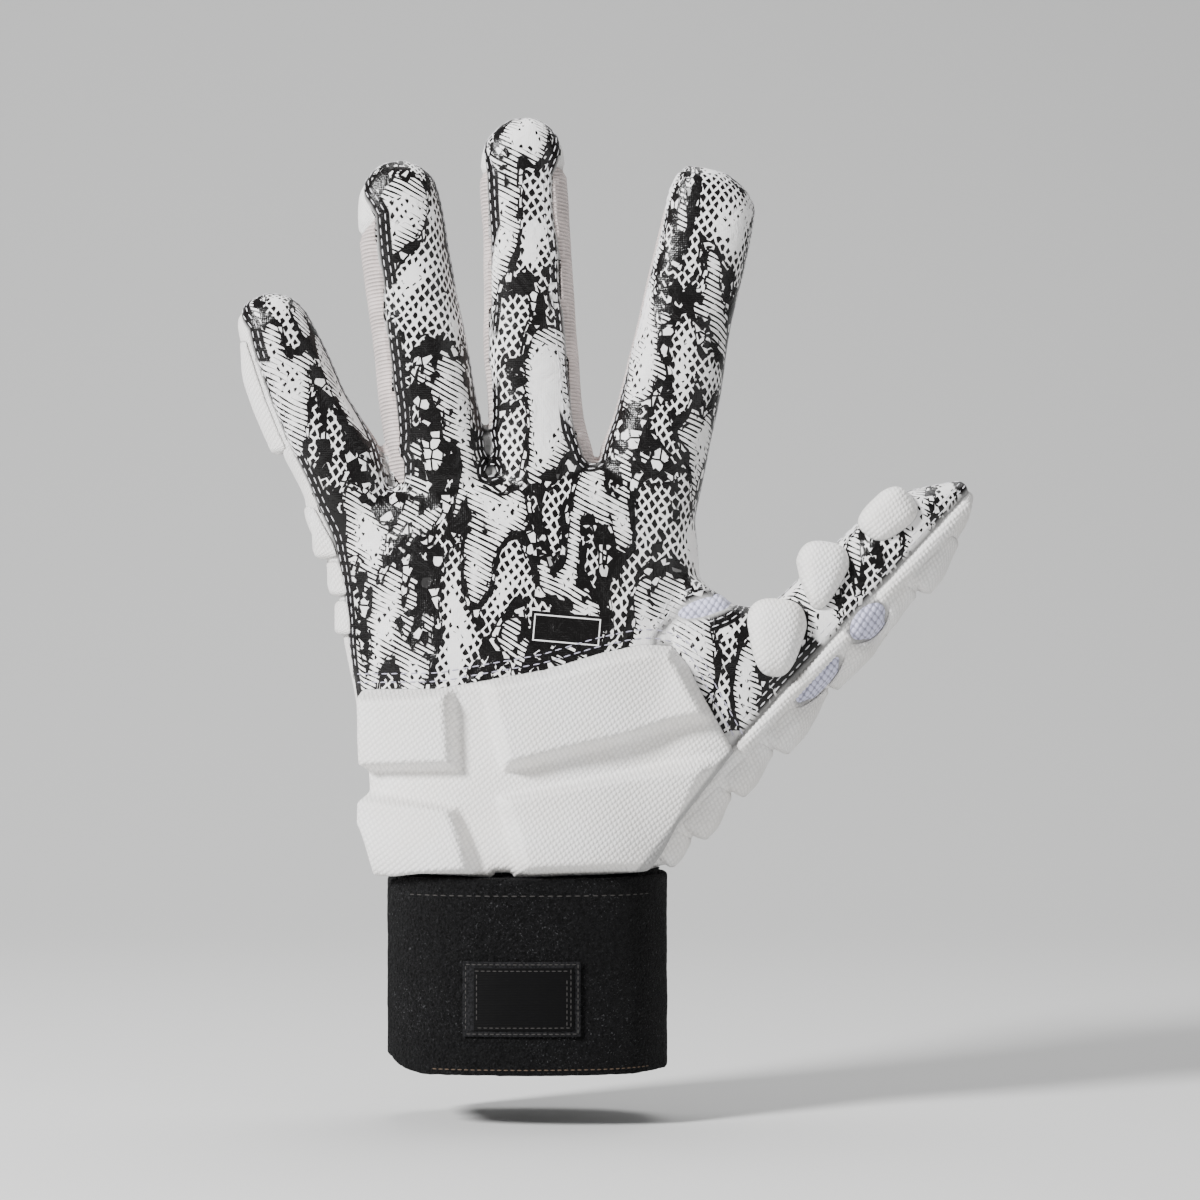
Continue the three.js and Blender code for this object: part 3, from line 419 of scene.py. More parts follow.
def settled(piece):
    """Makes an object's modifiers real."""
    graph = bpy.context.evaluated_depsgraph_get()
    mesh = bpy.data.meshes.new_from_object(piece.evaluated_get(graph))
    old = piece.data
    piece.modifiers.clear()
    piece.data = mesh
    bpy.data.meshes.remove(old)
    return piece


def copied(piece, name):
    twin = bpy.data.objects.new(name, piece.data.copy())
    bpy.context.scene.collection.objects.link(twin)
    return twin


def removed(*pieces):
    for piece in pieces:
        mesh = piece.data
        bpy.data.objects.remove(piece)
        bpy.data.meshes.remove(mesh)


def cut(piece, operation, *others):
    """Joins, cuts or intersects a solid with others."""
    for other in others:
        modifier = piece.modifiers.new("cut", "BOOLEAN")
        modifier.operation = operation
        modifier.solver = "MANIFOLD"
        modifier.object = other
        settled(piece)
    return piece


def remeshed(piece, size):
    modifier = piece.modifiers.new("even grain", "REMESH")
    modifier.mode = "VOXEL"
    modifier.voxel_size = size * MM
    return settled(piece)


def smooth(bm):
    """Moves each point halfway to the middle of its neighbours."""
    bmesh.ops.smooth_vert(bm, verts=bm.verts, factor=0.5, use_axis_x=True, use_axis_y=True,
                          use_axis_z=True)


def smoothed(piece, times):
    bm = bmesh_of(piece)
    for _ in range(times):
        smooth(bm)
    return put_back(bm, piece)


def close_ends(bm, grid):
    """Joins a rolled grid's long sides and closes its two ends."""
    bmesh.ops.remove_doubles(bm, verts=grid, dist=1e-4)
    bmesh.ops.holes_fill(bm, edges=[edge for edge in bm.edges if edge.is_boundary], sides=0)
    bmesh.ops.recalc_face_normals(bm, faces=bm.faces)


def round_rims(bm, offset, segments):
    """Rounds a sheet's sharp rims."""
    bmesh.ops.recalc_face_normals(bm, faces=bm.faces)
    rims = [edge for edge in bm.edges if len(edge.link_faces) == 2 and edge.calc_face_angle(0) > 1.0]
    bmesh.ops.bevel(bm, geom=rims, offset=offset, offset_type="OFFSET", segments=segments, profile=0.5,
                    affect="EDGES", material=-1)


def loft(bm, sections, sides, place):
    """Adds a closed skin through a stack of rounded sections."""
    rings = len(sections) - 1
    grid = bmesh.ops.create_grid(bm, x_segments=sides, y_segments=rings, size=1)["verts"]
    for vertex in grid:
        along, left, right, front, back = sections[round((vertex.co.y + 1) / 2 * rings)]
        turn = math.pi * (vertex.co.x + 1)
        across = (right - left) / 2 + (right + left) / 2 * rounded(math.cos(turn))
        side = rounded(math.sin(turn))
        x, z = place(along, across)
        vertex.co = (x, (front if side < 0 else back) * side, z)
    close_ends(bm, grid)


def hand_object(name, grow, grain, smoothing):
    """The whole hand as one even, softened solid."""
    bm = bmesh.new()
    slope = math.tan(math.radians(KNUCKLE_SLOPE))

    def palm_spot(along, across):
        rise = max((along - STRAP_HEIGHT) / PALM_LENGTH, 0) ** 2
        return across, along + across * slope * rise

    loft(bm, hand_sections(grow, 70), 72, palm_spot)
    for limb, facts in LIMBS.items():
        sections = fine_sections(facts["rows"], facts["size"], grow, 60)
        loft(bm, sections, 48, lambda along, across, limb=limb: limb_place(limb, along, across))
    for vertex in bm.verts:
        vertex.co.y -= bow(vertex.co.z)
    return smoothed(remeshed(object_of(name, bm), grain), smoothing)


def prism(name, outline, near=-FAR, far=FAR):
    """A solid from an outline in the x, z plane drawn out along y."""
    bm = bmesh.new()
    face = bm.faces.new([bm.verts.new((x, near, z)) for x, z in outline])
    drawn = bmesh.ops.extrude_face_region(bm, geom=[face])["geom"]
    ends = [part for part in drawn if isinstance(part, bmesh.types.BMVert)]
    bmesh.ops.translate(bm, verts=ends, vec=(0, far - near, 0))
    bmesh.ops.recalc_face_normals(bm, faces=bm.faces)
    return object_of(name, bm)


def half_space(name, middle, rise):
    """Everything above a slanting line: its height in the middle and its rise to the far right."""
    return prism(name, [(-FAR, middle - rise), (FAR, middle + rise), (FAR, 2 * FAR), (-FAR, 2 * FAR)])


def seam_depth_at(x, z):
    """Depth of the front seam at a place, read between the edges of the fingers."""
    marks = []
    for name in FINGERS:
        limb = LIMBS[name]
        length, breadth, depth = limb["size"]
        lean = math.radians(limb["lean"])
        root_x, root_z = palm_place(limb["root"])
        above = max(z - root_z, 0)
        middle = root_x + above * math.tan(lean)
        half = breadth / 2 / math.cos(lean)
        over_tip = smoothstep(above / math.cos(lean) / length, SIDEWALL_END - 0.06, 1)
        for side, share in zip((-half, half), limb["seam"]):
            marks.append((middle + side, (over_tip * (TIP_SEAM + share) - share) * depth))
    thumb = LIMBS["thumb"]["size"][2] * THUMB_SEAM_BEHIND
    marks.append((marks[-1][0] + THUMB_SEAM_BEYOND * PALM_BREADTH, thumb))
    if x <= marks[0][0]:
        return marks[0][1]
    for (x0, y0), (x1, y1) in zip(marks, marks[1:]):
        if x < x1:
            return y0 + (y1 - y0) * smoothstep(x, x0, x1)
    return marks[-1][1]


def front_block():
    """Everything in front of the front seam."""
    bm = bmesh.new()
    grid = bmesh.ops.create_grid(bm, x_segments=130, y_segments=125, size=1)["verts"]
    for vertex in grid:
        x = 15 + vertex.co.x * 135
        z = 115 + vertex.co.y * 165
        vertex.co = (x, seam_depth_at(x, z) - bow(z), z)
    drawn = bmesh.ops.extrude_face_region(bm, geom=bm.faces[:])["geom"]
    for part in drawn:
        if isinstance(part, bmesh.types.BMVert):
            part.co.y = -FAR
    bmesh.ops.recalc_face_normals(bm, faces=bm.faces)
    return object_of("front_block", bm)


def skin_of(piece):
    """A search tree of an object's surface, in millimetres."""
    bm = bmesh_of(piece)
    tree = BVHTree.FromBMesh(bm)
    bm.free()
    return tree


def edge_distance(outline, x, z):
    """How far a place lies inside a closed outline; negative outside."""
    inside = False
    nearest = 1e9
    for (x0, z0), (x1, z1) in zip(outline, outline[1:] + outline[:1]):
        dx, dz = x1 - x0, z1 - z0
        t = min(max(((x - x0) * dx + (z - z0) * dz) / (dx * dx + dz * dz), 0), 1)
        nearest = min(nearest, math.hypot(x - x0 - t * dx, z - z0 - t * dz))
        if (z0 > z) != (z1 > z) and x < dx * (z - z0) / dz + x0:
            inside = not inside
    return nearest if inside else -nearest


def draw_in_edges(piece, depth, width):
    """Draws a panel's outer edges in towards the hand, and keeps each point's distance from them."""
    skin = forms["skin"]
    bm = bmesh_of(piece)
    outer = {}
    for vertex in bm.verts:
        spot, normal, _, gap = skin.find_nearest(vertex.co, 0.4)
        if spot is not None and gap < 0.03:
            outer[vertex.index] = normal
    rim = set()
    for edge in bm.edges:
        if len(edge.link_faces) == 2 and edge.calc_face_angle(0) > 0.8:
            rim.update(vertex.index for vertex in edge.verts if vertex.index in outer)
    bm.verts.ensure_lookup_table()
    tree = KDTree(max(len(rim), 1))
    for index in rim:
        tree.insert(bm.verts[index].co, index)
    tree.balance()
    layer = bm.verts.layers.float.new("edge")
    moves = []
    for vertex in bm.verts:
        if vertex.index not in outer:
            vertex[layer] = 99
            continue
        distance = tree.find(vertex.co)[2] if rim else 99
        vertex[layer] = distance
        if distance < width:
            moves.append((vertex, outer[vertex.index] * depth * (1 - smoothstep(distance, 0, width))))
    for vertex, move in moves:
        vertex.co -= move
    return put_back(bm, piece)


def lay_cloth(piece):
    """A UV map that follows the surface round its sides: one unit is 100 mm."""
    mesh = piece.data
    count = len(mesh.vertices)
    places = np.empty(count * 3)
    mesh.vertices.foreach_get("co", places)
    places = places.reshape(-1, 3) / MM
    normals = np.empty(count * 3)
    mesh.vertex_normals.foreach_get("vector", normals)
    normals = normals.reshape(-1, 3)
    above = np.maximum(places[:, 2] - STRAP_HEIGHT - PALM_LENGTH * BOW_START, 0)
    bend = FINGER_BOW * (above / MIDDLE_FINGER_LENGTH) ** 2
    behind = np.maximum(places[:, 1] + bend + 8, 0)
    u = places[:, 0] + normals[:, 0] * behind
    v = places[:, 2] + normals[:, 2] * behind
    corners = np.empty(len(mesh.loops), dtype=np.int64)
    mesh.loops.foreach_get("vertex_index", corners)
    layer = mesh.uv_layers.new(name="cloth")
    layer.data.foreach_set("uv", np.column_stack((u[corners], v[corners])).ravel() / 100)


def keep_foot(piece, start=0.0):
    """Keeps each point's height over the hand, so that a finish can paint shade where the piece meets it."""
    skin = forms["skin"]
    heights = [start + skin.find_nearest(vertex.co / MM)[3] * 1.6 for vertex in piece.data.vertices]
    piece.data.attributes.new("edge", "FLOAT", "POINT").data.foreach_set("value", heights)


def finish(piece, material, slot, *nodes, padded=None, angle=40):
    """Shades a finished piece, gives it its finish and ties it to the frame."""
    piece.data.shade_smooth()
    piece.data.set_sharp_from_angle(angle=math.radians(angle))
    if "cloth" not in piece.data.uv_layers:
        lay_cloth(piece)
    if "edge" not in piece.data.attributes:
        keep_foot(piece)
    piece.data.materials.clear()
    piece.data.materials.append(material)
    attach(piece, "root")
    if nodes:
        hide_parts(*nodes)
    return piece


# Sewing

def lines_at(piece, level, keep):
    """Chains of points on a panel at a distance from its edges, where keep says so."""
    mesh = piece.data
    mesh.calc_loop_triangles()
    values = [item.value for item in mesh.attributes["edge"].data]
    spots = {}
    links = {}
    for triangle in mesh.loop_triangles:
        corners = triangle.vertices
        reach = [values[i] for i in corners]
        if max(reach) > 50 or min(reach) > level or max(reach) <= level:
            continue
        ends = []
        for a, b in ((0, 1), (1, 2), (2, 0)):
            if (reach[a] > level) != (reach[b] > level):
                key = tuple(sorted((corners[a], corners[b])))
                t = (level - reach[a]) / (reach[b] - reach[a])
                start = mesh.vertices[corners[a]].co
                spots[key] = start.lerp(mesh.vertices[corners[b]].co, t) / MM
                ends.append(key)
        if len(ends) == 2 and keep(spots[ends[0]]):
            links.setdefault(ends[0], []).append(ends[1])
            links.setdefault(ends[1], []).append(ends[0])
    chains = []
    while links:
        start = next((key for key, near in links.items() if len(near) == 1), next(iter(links)))
        chain = [start]
        while True:
            near = links.get(chain[-1])
            if not near:
                links.pop(chain[-1], None)
                break
            follow = near.pop()
            if not near:
                links.pop(chain[-1], None)
            back = links.get(follow)
            if back and chain[-1] in back:
                back.remove(chain[-1])
            chain.append(follow)
        if len(chain) > 3:
            chains.append([spots[key] for key in chain])
    return chains


def eased_chain(chain, times=4):
    """Takes the small turns out of a chain of points and keeps its ends."""
    for _ in range(times):
        if len(chain) > 2:
            middle = [(a + b * 2 + c) / 4 for a, b, c in zip(chain, chain[1:], chain[2:])]
            chain = [chain[0]] + middle + [chain[-1]]
    return chain


def even_points(line, pitch):
    """Points at an even pitch along a chain, with the way it runs."""
    points = []
    left = pitch / 2
    for a, b in zip(line, line[1:]):
        step = (b - a).length
        if step < 1e-9:
            continue
        at = left
        while at <= step:
            points.append((a.lerp(b, at / step), (b - a).normalized()))
            at += pitch
        left = at - step
    return points


def sew(bm, points, skin, length, thread, lift=0.1):
    """Adds one small rounded stitch at each point."""
    for spot, way in points:
        seat, normal, _, _ = skin.find_nearest(spot)
        if normal.dot(spot - seat) < 0:
            normal = -normal if normal.y > 0 else normal
        side = normal.cross(way).normalized()
        way = side.cross(normal).normalized()
        turn = Matrix((way, side, normal)).transposed().to_4x4()
        place = Matrix.Translation(spot + normal * lift) @ turn
        shape = Matrix.Diagonal((length, thread, thread * 0.8, 1))
        bmesh.ops.create_uvsphere(bm, u_segments=6, v_segments=5, radius=0.5,
                                  matrix=place @ shape @ Matrix.Rotation(math.pi / 2, 4, "Y"))


# Node materials

class Finish:
    """One node material, with short ways to add its nodes."""

    def __init__(self, name):
        self.material = bpy.data.materials.new(name)
        self.material.use_nodes = True
        self.tree = self.material.node_tree
        self.shader = self.tree.nodes["Principled BSDF"]

    def node(self, kind, sockets, output=0, **settings):
        made = self.tree.nodes.new(kind)
        for key, value in settings.items():
            setattr(made, key, value)
        for key, value in sockets.items():
            if isinstance(value, bpy.types.NodeSocket):
                self.tree.links.new(value, made.inputs[key])
            else:
                made.inputs[key].default_value = value
        return made.outputs[output]

    def math(self, operation, *values):
        return self.node("ShaderNodeMath", dict(enumerate(values)), operation=operation)

    def times(self, a, b):
        return self.math("MULTIPLY", a, b)

    def plus(self, a, b):
        return self.math("ADD", a, b)

    def minus(self, a, b):
        return self.math("SUBTRACT", a, b)

    def wave(self, value, pitch):
        return self.math("SINE", self.times(value, 2 * math.pi / pitch))

    def split(self, vector):
        """The three parts of a vector."""
        return self.node("ShaderNodeSeparateXYZ", {"Vector": vector}).node.outputs

    def smooth(self, value, low, high):
        return self.node("ShaderNodeMapRange", {"Value": value, "From Min": low, "From Max": high},
                         interpolation_type="SMOOTHSTEP")

    def mixed(self, share, a, b):
        return self.node("ShaderNodeMix", {0: share, 6: a, 7: b}, output=2, data_type="RGBA")

    def tinted(self, a, b):
        """One colour multiplied by another."""
        return self.node("ShaderNodeMix", {0: 1.0, 6: a, 7: b}, output=2, data_type="RGBA",
                         blend_type="MULTIPLY")

    def noise(self, vector, scale, detail=2.0, roughness=0.5, distortion=0.0):
        return self.node("ShaderNodeTexNoise", {"Vector": vector, "Scale": scale, "Detail": detail,
                                                "Roughness": roughness, "Distortion": distortion})

    def cells(self, vector, scale, randomness, output="Distance", **settings):
        made = self.tree.nodes.new("ShaderNodeTexVoronoi")
        for key, value in settings.items():
            setattr(made, key, value)
        self.tree.links.new(vector, made.inputs["Vector"])
        made.inputs["Scale"].default_value = scale
        made.inputs["Randomness"].default_value = randomness
        return made.outputs[output]

    def cloth(self, turn=0.0, stretch=(1.0, 1.0)):
        """The cloth's own map in millimetres, turned and stretched."""
        where = self.node("ShaderNodeUVMap", {}, uv_map="cloth")
        return self.node("ShaderNodeMapping", {
            "Vector": where,
            "Rotation": (0, 0, math.radians(turn)),
            "Scale": (100 * stretch[0], 100 * stretch[1], 1),
        })

    def place(self):
        """Object coordinates in millimetres."""
        where = self.node("ShaderNodeTexCoord", {}, output="Object")
        return self.node("ShaderNodeMapping", {"Vector": where, "Scale": (1000, 1000, 1000)})

    def bump(self, height, distance, strength=1.0, under=None):
        sockets = {"Strength": strength, "Distance": distance * MM, "Height": height}
        if under is not None:
            sockets["Normal"] = under
        return self.node("ShaderNodeBump", sockets)

    def set(self, **values):
        names = {"colour": "Base Color", "roughness": "Roughness", "normal": "Normal",
                 "sheen": "Sheen Weight", "sheen_roughness": "Sheen Roughness",
                 "specular": "Specular IOR Level"}
        for key, value in values.items():
            socket = self.shader.inputs[names[key]]
            if isinstance(value, bpy.types.NodeSocket):
                self.tree.links.new(value, socket)
            else:
                socket.default_value = value
        return self.material


def shade(colour, factor=1.0):
    return (*[channel * factor for channel in colour], 1)


def edge_shadow(finish, colour, dark):
    """Colour that darkens softly towards a panel's sewn edges."""
    edge = finish.node("ShaderNodeAttribute", {}, output="Fac", attribute_name="edge")
    near = finish.smooth(edge, 0.0, 1.6)
    return finish.mixed(near, dark, colour)


def pebbled_cloth(name, colour, pitch=1.0, depth=0.16):
    """White cloth of small raised pills in steep slanting rows, with painted shade between the pills and
    towards its edges.
    """
    made = Finish(name)
    pills = made.cells(made.cloth(turn=-32, stretch=(1.0, 0.76)), 1 / pitch, 0.16, voronoi_dimensions="2D",
                       distance="EUCLIDEAN", feature="F1")
    crown = made.smooth(pills, 0.62, 0.12)
    threads = made.noise(made.place(), 3.0, 3.0, 0.6)
    soft = made.noise(made.place(), 0.07, 3.0, 0.55)
    height = made.plus(crown, made.times(threads, 0.35))
    normal = made.bump(height, depth)
    # Painted shade: the valleys between the pills are darker
    valley_shade = made.mixed(made.smooth(crown, 0.0, 0.75), shade(colour, 0.85), shade(colour))
    worn = made.mixed(made.smooth(soft, 0.35, 0.75), (0.97, 0.955, 0.935, 1), (1, 1, 1, 1))
    tone = edge_shadow(made, made.tinted(valley_shade, worn), shade(colour, 0.42))
    return made.set(colour=tone, roughness=0.82, normal=normal, sheen=0.15, sheen_roughness=0.5,
                    specular=0.3)


def fine_cloth(name, colour):
    """Fine white stretch cloth of the back and thumb panels, with painted shade between the crowns of its
    weave.
    """
    made = Finish(name)
    across = made.cells(made.cloth(turn=45), 1 / 0.8, 0.1, voronoi_dimensions="2D")
    crown = made.smooth(across, 0.6, 0.1)
    soft = made.noise(made.place(), 0.06, 3.0, 0.55)
    wrinkle = made.noise(made.place(), 0.16, 4.0, 0.6, 0.5)
    under = made.bump(wrinkle, 0.8)
    normal = made.bump(crown, 0.08, under=under)
    # Painted shade: darker between the crowns of the weave
    tone = made.mixed(made.smooth(crown, 0.0, 0.8), shade(colour, 0.8), shade(colour))
    worn = made.mixed(made.smooth(soft, 0.3, 0.7), shade((0.92, 0.905, 0.885)), (1, 1, 1, 1))
    return made.set(colour=made.tinted(tone, worn), roughness=0.85, normal=normal, sheen=0.3,
                    sheen_roughness=0.5, specular=0.25)


def printed_grip(name, light, dark):
    """White grip cloth with a raised glossy print: ragged dark bands, light cells in their middle, dots on
    one side of them and slanting lines on the other."""
    made = Finish(name)
    flat = made.cloth()
    field = made.noise(made.cloth(turn=5, stretch=(1.0, 0.42)), 1 / 13, 2.0, 0.45, 0.5)
    ragged = made.cells(flat, 1 / 2.0, 1.0, output="Color", voronoi_dimensions="2D")
    level = made.plus(field, made.times(made.minus(made.split(ragged)[0], 0.5), 0.045))
    reach = made.math("ABSOLUTE", made.minus(level, 0.5))
    band = made.smooth(reach, 0.047, 0.043)
    above = made.smooth(level, 0.499, 0.501)

    scales = made.cells(flat, 1 / 2.7, 0.75, voronoi_dimensions="2D", feature="DISTANCE_TO_EDGE")
    chosen = made.cells(flat, 1 / 2.7, 0.75, output="Color", voronoi_dimensions="2D")
    core = made.times(made.smooth(reach, 0.022, 0.018), made.smooth(scales, 0.07, 0.11))
    chain = made.times(core, made.smooth(made.split(chosen)[1], 0.60, 0.62))

    spread = made.plus(made.times(made.smooth(reach, 0.05, 0.17), 0.16), 0.11)
    dots = made.cells(made.cloth(turn=52, stretch=(1.16, 0.86)), 1 / 2.0, 0.42, voronoi_dimensions="2D",
                      feature="DISTANCE_TO_EDGE")
    blunt = made.cells(made.cloth(turn=52, stretch=(1.16, 0.86)), 1 / 2.0, 0.42, voronoi_dimensions="2D")
    dots = made.math("MINIMUM", dots, made.times(made.minus(0.78, blunt), 0.62))
    dotted = made.smooth(made.minus(dots, spread), 0.0, 0.05)
    dotted_zone = made.smooth(reach, 0.150, 0.146)

    slanted = made.split(made.cloth(turn=-63))[0]
    ripple = made.times(made.noise(flat, 1 / 14, 1.0), 2.0)
    stroke = made.wave(made.plus(slanted, ripple), 1.3)
    fading = made.times(made.smooth(reach, 0.05, 0.13), 0.9)
    lined = made.smooth(made.minus(stroke, fading), 0.0, 0.4)
    lined_zone = made.smooth(reach, 0.122, 0.118)

    dotted = made.times(dotted, dotted_zone)
    lined = made.math("MAXIMUM", made.times(lined, lined_zone),
                      made.times(dotted, made.minus(1.0, lined_zone)))
    beside = made.node("ShaderNodeMix", {0: above, 2: lined, 3: dotted}, output=0)
    ink = made.math("MAXIMUM", beside, band)
    ink = made.times(ink, made.minus(1.0, chain))
    border = made.node("ShaderNodeAttribute", {}, output="Fac", attribute_name="edge")
    border = made.times(made.smooth(border, 4.7, 4.4),
                       made.smooth(made.noise(made.place(), 1 / 28, 1.0), 0.47, 0.49))
    ink = made.math("MAXIMUM", ink, border)
    patch = palm_patch(made)
    ink = made.math("MAXIMUM", ink, patch["ground"])
    ink = made.times(ink, made.minus(1.0, patch["line"]))

    warm = made.noise(made.place(), 0.05, 3.0, 0.5)
    ground = made.mixed(made.smooth(warm, 0.3, 0.7), shade(light, 0.93), shade(light))
    tone = made.mixed(ink, ground, shade(dark))
    to_tab = made.node("ShaderNodeVectorMath", {0: flat, 1: (*SEAM_TAB, 0)}, output=1,
                       operation="DISTANCE")
    tone = made.mixed(made.smooth(to_tab, 5.3, 5.0), tone, shade(light, 0.6))
    tone = edge_shadow(made, tone, shade(light, 0.45))
    grain = made.cells(flat, 1 / 0.55, 0.3, voronoi_dimensions="2D")
    crease = made.noise(made.place(), 0.13, 4.0, 0.6, 0.6)
    under = made.bump(crease, 0.8)
    fine = made.bump(grain, 0.05, under=under)
    normal = made.bump(ink, 0.11, under=fine)
    gloss = made.node("ShaderNodeMapRange", {"Value": ink, "To Min": 0.44, "To Max": 0.26})
    return made.set(colour=tone, roughness=gloss, normal=normal, specular=0.28)


def palm_patch(made):
    """Masks of the plain dark patch printed on the palm and of its thin light line."""
    where = made.node("ShaderNodeUVMap", {}, uv_map="cloth")
    moved = made.node("ShaderNodeMapping", {
        "Vector": where,
        "Location": (-PRINTED_PATCH_CENTRE[0] / 100, -PRINTED_PATCH_CENTRE[1] / 100, 0),
    })
    turned = made.node("ShaderNodeMapping", {
        "Vector": moved,
        "Rotation": (0, 0, math.radians(5)),
        "Scale": (100, 100, 1),
    })
    apart = made.split(turned)
    x = made.minus(made.math("ABSOLUTE", apart[0]), PRINTED_PATCH_HALVES[0])
    y = made.minus(made.math("ABSOLUTE", apart[1]), PRINTED_PATCH_HALVES[1])
    reach = made.math("MAXIMUM", x, y)
    line = made.times(made.smooth(reach, -0.30, -0.38), made.smooth(reach, -0.72, -0.64))
    return {"ground": made.smooth(reach, 0.45, 0.35), "line": line}


def ribbed_knit(name, colour):
    """Knit with fine ribs across the finger, with painted shade in the grooves between the ribs."""
    made = Finish(name)
    _, back, up = made.split(made.place())
    rib = made.wave(made.plus(up, made.times(back, 0.12)), 0.95)
    height = made.plus(rib, made.times(made.wave(back, 0.7), 0.3))
    soft = made.noise(made.place(), 0.1, 3.0)
    # Painted shade: darker in the grooves between the ribs
    base = made.mixed(made.smooth(height, -1.0, 0.7), shade(colour, 0.66), shade(colour))
    tone = made.mixed(made.smooth(soft, 0.4, 0.7), base, shade(colour, 1.1))
    return made.set(colour=tone, roughness=0.9, normal=made.bump(height, 0.16), sheen=0.3,
                    sheen_roughness=0.5, specular=0.2)


def open_mesh(name, colour):
    """Lilac mesh of small puffed cells with holes between them, the holes and hollows painted in shade."""
    made = Finish(name)
    where = made.cloth(turn=38, stretch=(1.0, 0.8))
    holes = made.cells(where, 1 / 1.35, 0.12, voronoi_dimensions="2D")
    puff = made.smooth(holes, 0.62, 0.15)
    threads = made.noise(made.place(), 2.4, 3.0, 0.6)
    height = made.plus(puff, made.times(threads, 0.4))
    # Painted shade: darker in the holes and hollows, lighter on the puffed tops
    tone = made.mixed(made.smooth(height, 0.05, 0.85), shade(colour, 0.42), shade(colour, 1.25))
    return made.set(colour=tone, roughness=0.8, normal=made.bump(height, 0.22), sheen=0.3, specular=0.3)


def black_knit(name, colour):
    made = Finish(name)
    loops = made.cells(made.cloth(turn=45), 1 / 0.9, 0.2, voronoi_dimensions="2D")
    crown = made.smooth(loops, 0.6, 0.1)
    # Painted light: the loops' crowns lighter and the gaps between them darker
    tone = made.mixed(crown, shade(colour, 0.7), shade(colour, 2.4))
    return made.set(colour=tone, roughness=0.85, normal=made.bump(crown, 0.15), sheen=0.03, specular=0.12)


def brushed_loop(name, colour):
    """Black loop cloth with a brushed face speckled with painted glints."""
    made = Finish(name)
    where = made.place()
    curls = made.noise(where, 1.1, 4.0, 0.75, 1.2)
    tufts = made.cells(where, 1.25, 1.0)
    gleam = made.smooth(made.noise(where, 1.9, 2.0, 0.7, 0.6), 0.60, 0.74)
    worn = made.smooth(made.noise(where, 0.05, 2.0), 0.40, 0.62)
    height = made.plus(made.times(curls, 1.4), made.times(tufts, -0.8))
    base = made.mixed(made.smooth(curls, 0.38, 0.68), shade(colour, 0.5), shade(colour, 2.6))
    # Painted glints: light specks where the gleam noise peaks, more where the worn noise is high
    painted_glints = made.times(gleam, made.plus(made.times(worn, 0.75), 0.25))
    tone = made.mixed(painted_glints, base, (0.085, 0.085, 0.09, 1))
    return made.set(colour=tone, roughness=0.95, normal=made.bump(height, 0.9), sheen=0.02,
                    sheen_roughness=0.35, specular=0.12)


def black_satin(name):
    made = Finish(name)
    across, _, up = made.split(made.place())
    height = made.plus(made.wave(up, 0.42), made.times(made.wave(across, 0.3), 0.4))
    # Painted light: the twill's ridges lighter and the hollows between them darker
    tone = made.mixed(made.smooth(height, -1.2, 1.2), (0.001, 0.001, 0.0011, 1), (0.003, 0.003, 0.0033, 1))
    return made.set(colour=tone, roughness=0.6, normal=made.bump(height, 0.02), specular=0.08)


def ribbon_edge(name):
    """Dull black ribbon round the label."""
    made = Finish(name)
    fuzz = made.noise(made.place(), 1.6, 4.0, 0.7)
    tone = made.mixed(made.smooth(fuzz, 0.35, 0.7), (0.004, 0.004, 0.0044, 1), (0.020, 0.020, 0.0215, 1))
    return made.set(colour=tone, roughness=0.85, normal=made.bump(fuzz, 0.25), specular=0.1)


def thread_finish(name, colour):
    made = Finish(name)
    twist = made.noise(made.place(), 4.0, 2.0, 0.6)
    tone = made.mixed(made.smooth(twist, 0.3, 0.7), shade(colour, 0.7), shade(colour))
    return made.set(colour=tone, roughness=0.7, normal=made.bump(twist, 0.08), specular=0.35)


def colours():
    return bpy.context.scene.glove_colours


def sizes():
    return bpy.context.scene.glove_sizes


def finish_named(name):
    """Makes each finish once and hands it out by name."""
    if name in forms:
        return forms[name]
    tones = colours()
    makers = {
        "printed grip": lambda: printed_grip(name, tones.print_white, tones.print_black),
        "white cloth": lambda: fine_cloth(name, tones.white),
        "pebbled cloth": lambda: pebbled_cloth(name, tones.white),
        "ribbed knit": lambda: ribbed_knit(name, tones.knit),
        "open mesh": lambda: open_mesh(name, tones.mesh),
        "black knit": lambda: black_knit(name, tones.strap),
        "brushed loop": lambda: brushed_loop(name, tones.strap),
        "black satin": lambda: black_satin(name),
        "ribbon edge": lambda: ribbon_edge(name),
        "white thread": lambda: thread_finish(name, (0.78, 0.77, 0.80)),
        "lilac thread": lambda: thread_finish(name, (0.52, 0.50, 0.62)),
        "dark thread": lambda: thread_finish(name, (0.045, 0.042, 0.04)),
        "brown thread": lambda: thread_finish(name, (0.11, 0.075, 0.05)),
    }
    forms[name] = makers[name]()
    return forms[name]


# Operators, one for each piece or group of like pieces

class GLOVE_OT_hand_form(bpy.types.Operator):
    """Makes the fine form of the hand that every panel is cut from"""
    bl_idname = "glove.hand_form"
    bl_label = "Hand form"

    def execute(self, context):
        grain = sizes().fineness
        hand = hand_object("hand_form", 0, grain, 5)
        bm = bmesh_of(hand)
        bm.normal_update()
        for vertex in bm.verts:
            swell = noise.noise(vertex.co / 13) * 0.32 + noise.noise(vertex.co / 5) * 0.08
            if vertex.co.z > STRAP_HEIGHT + 4:
                vertex.co += vertex.normal * swell
        forms["hand"] = put_back(bm, hand)
        forms["skin"] = skin_of(hand)
        return {"FINISHED"}


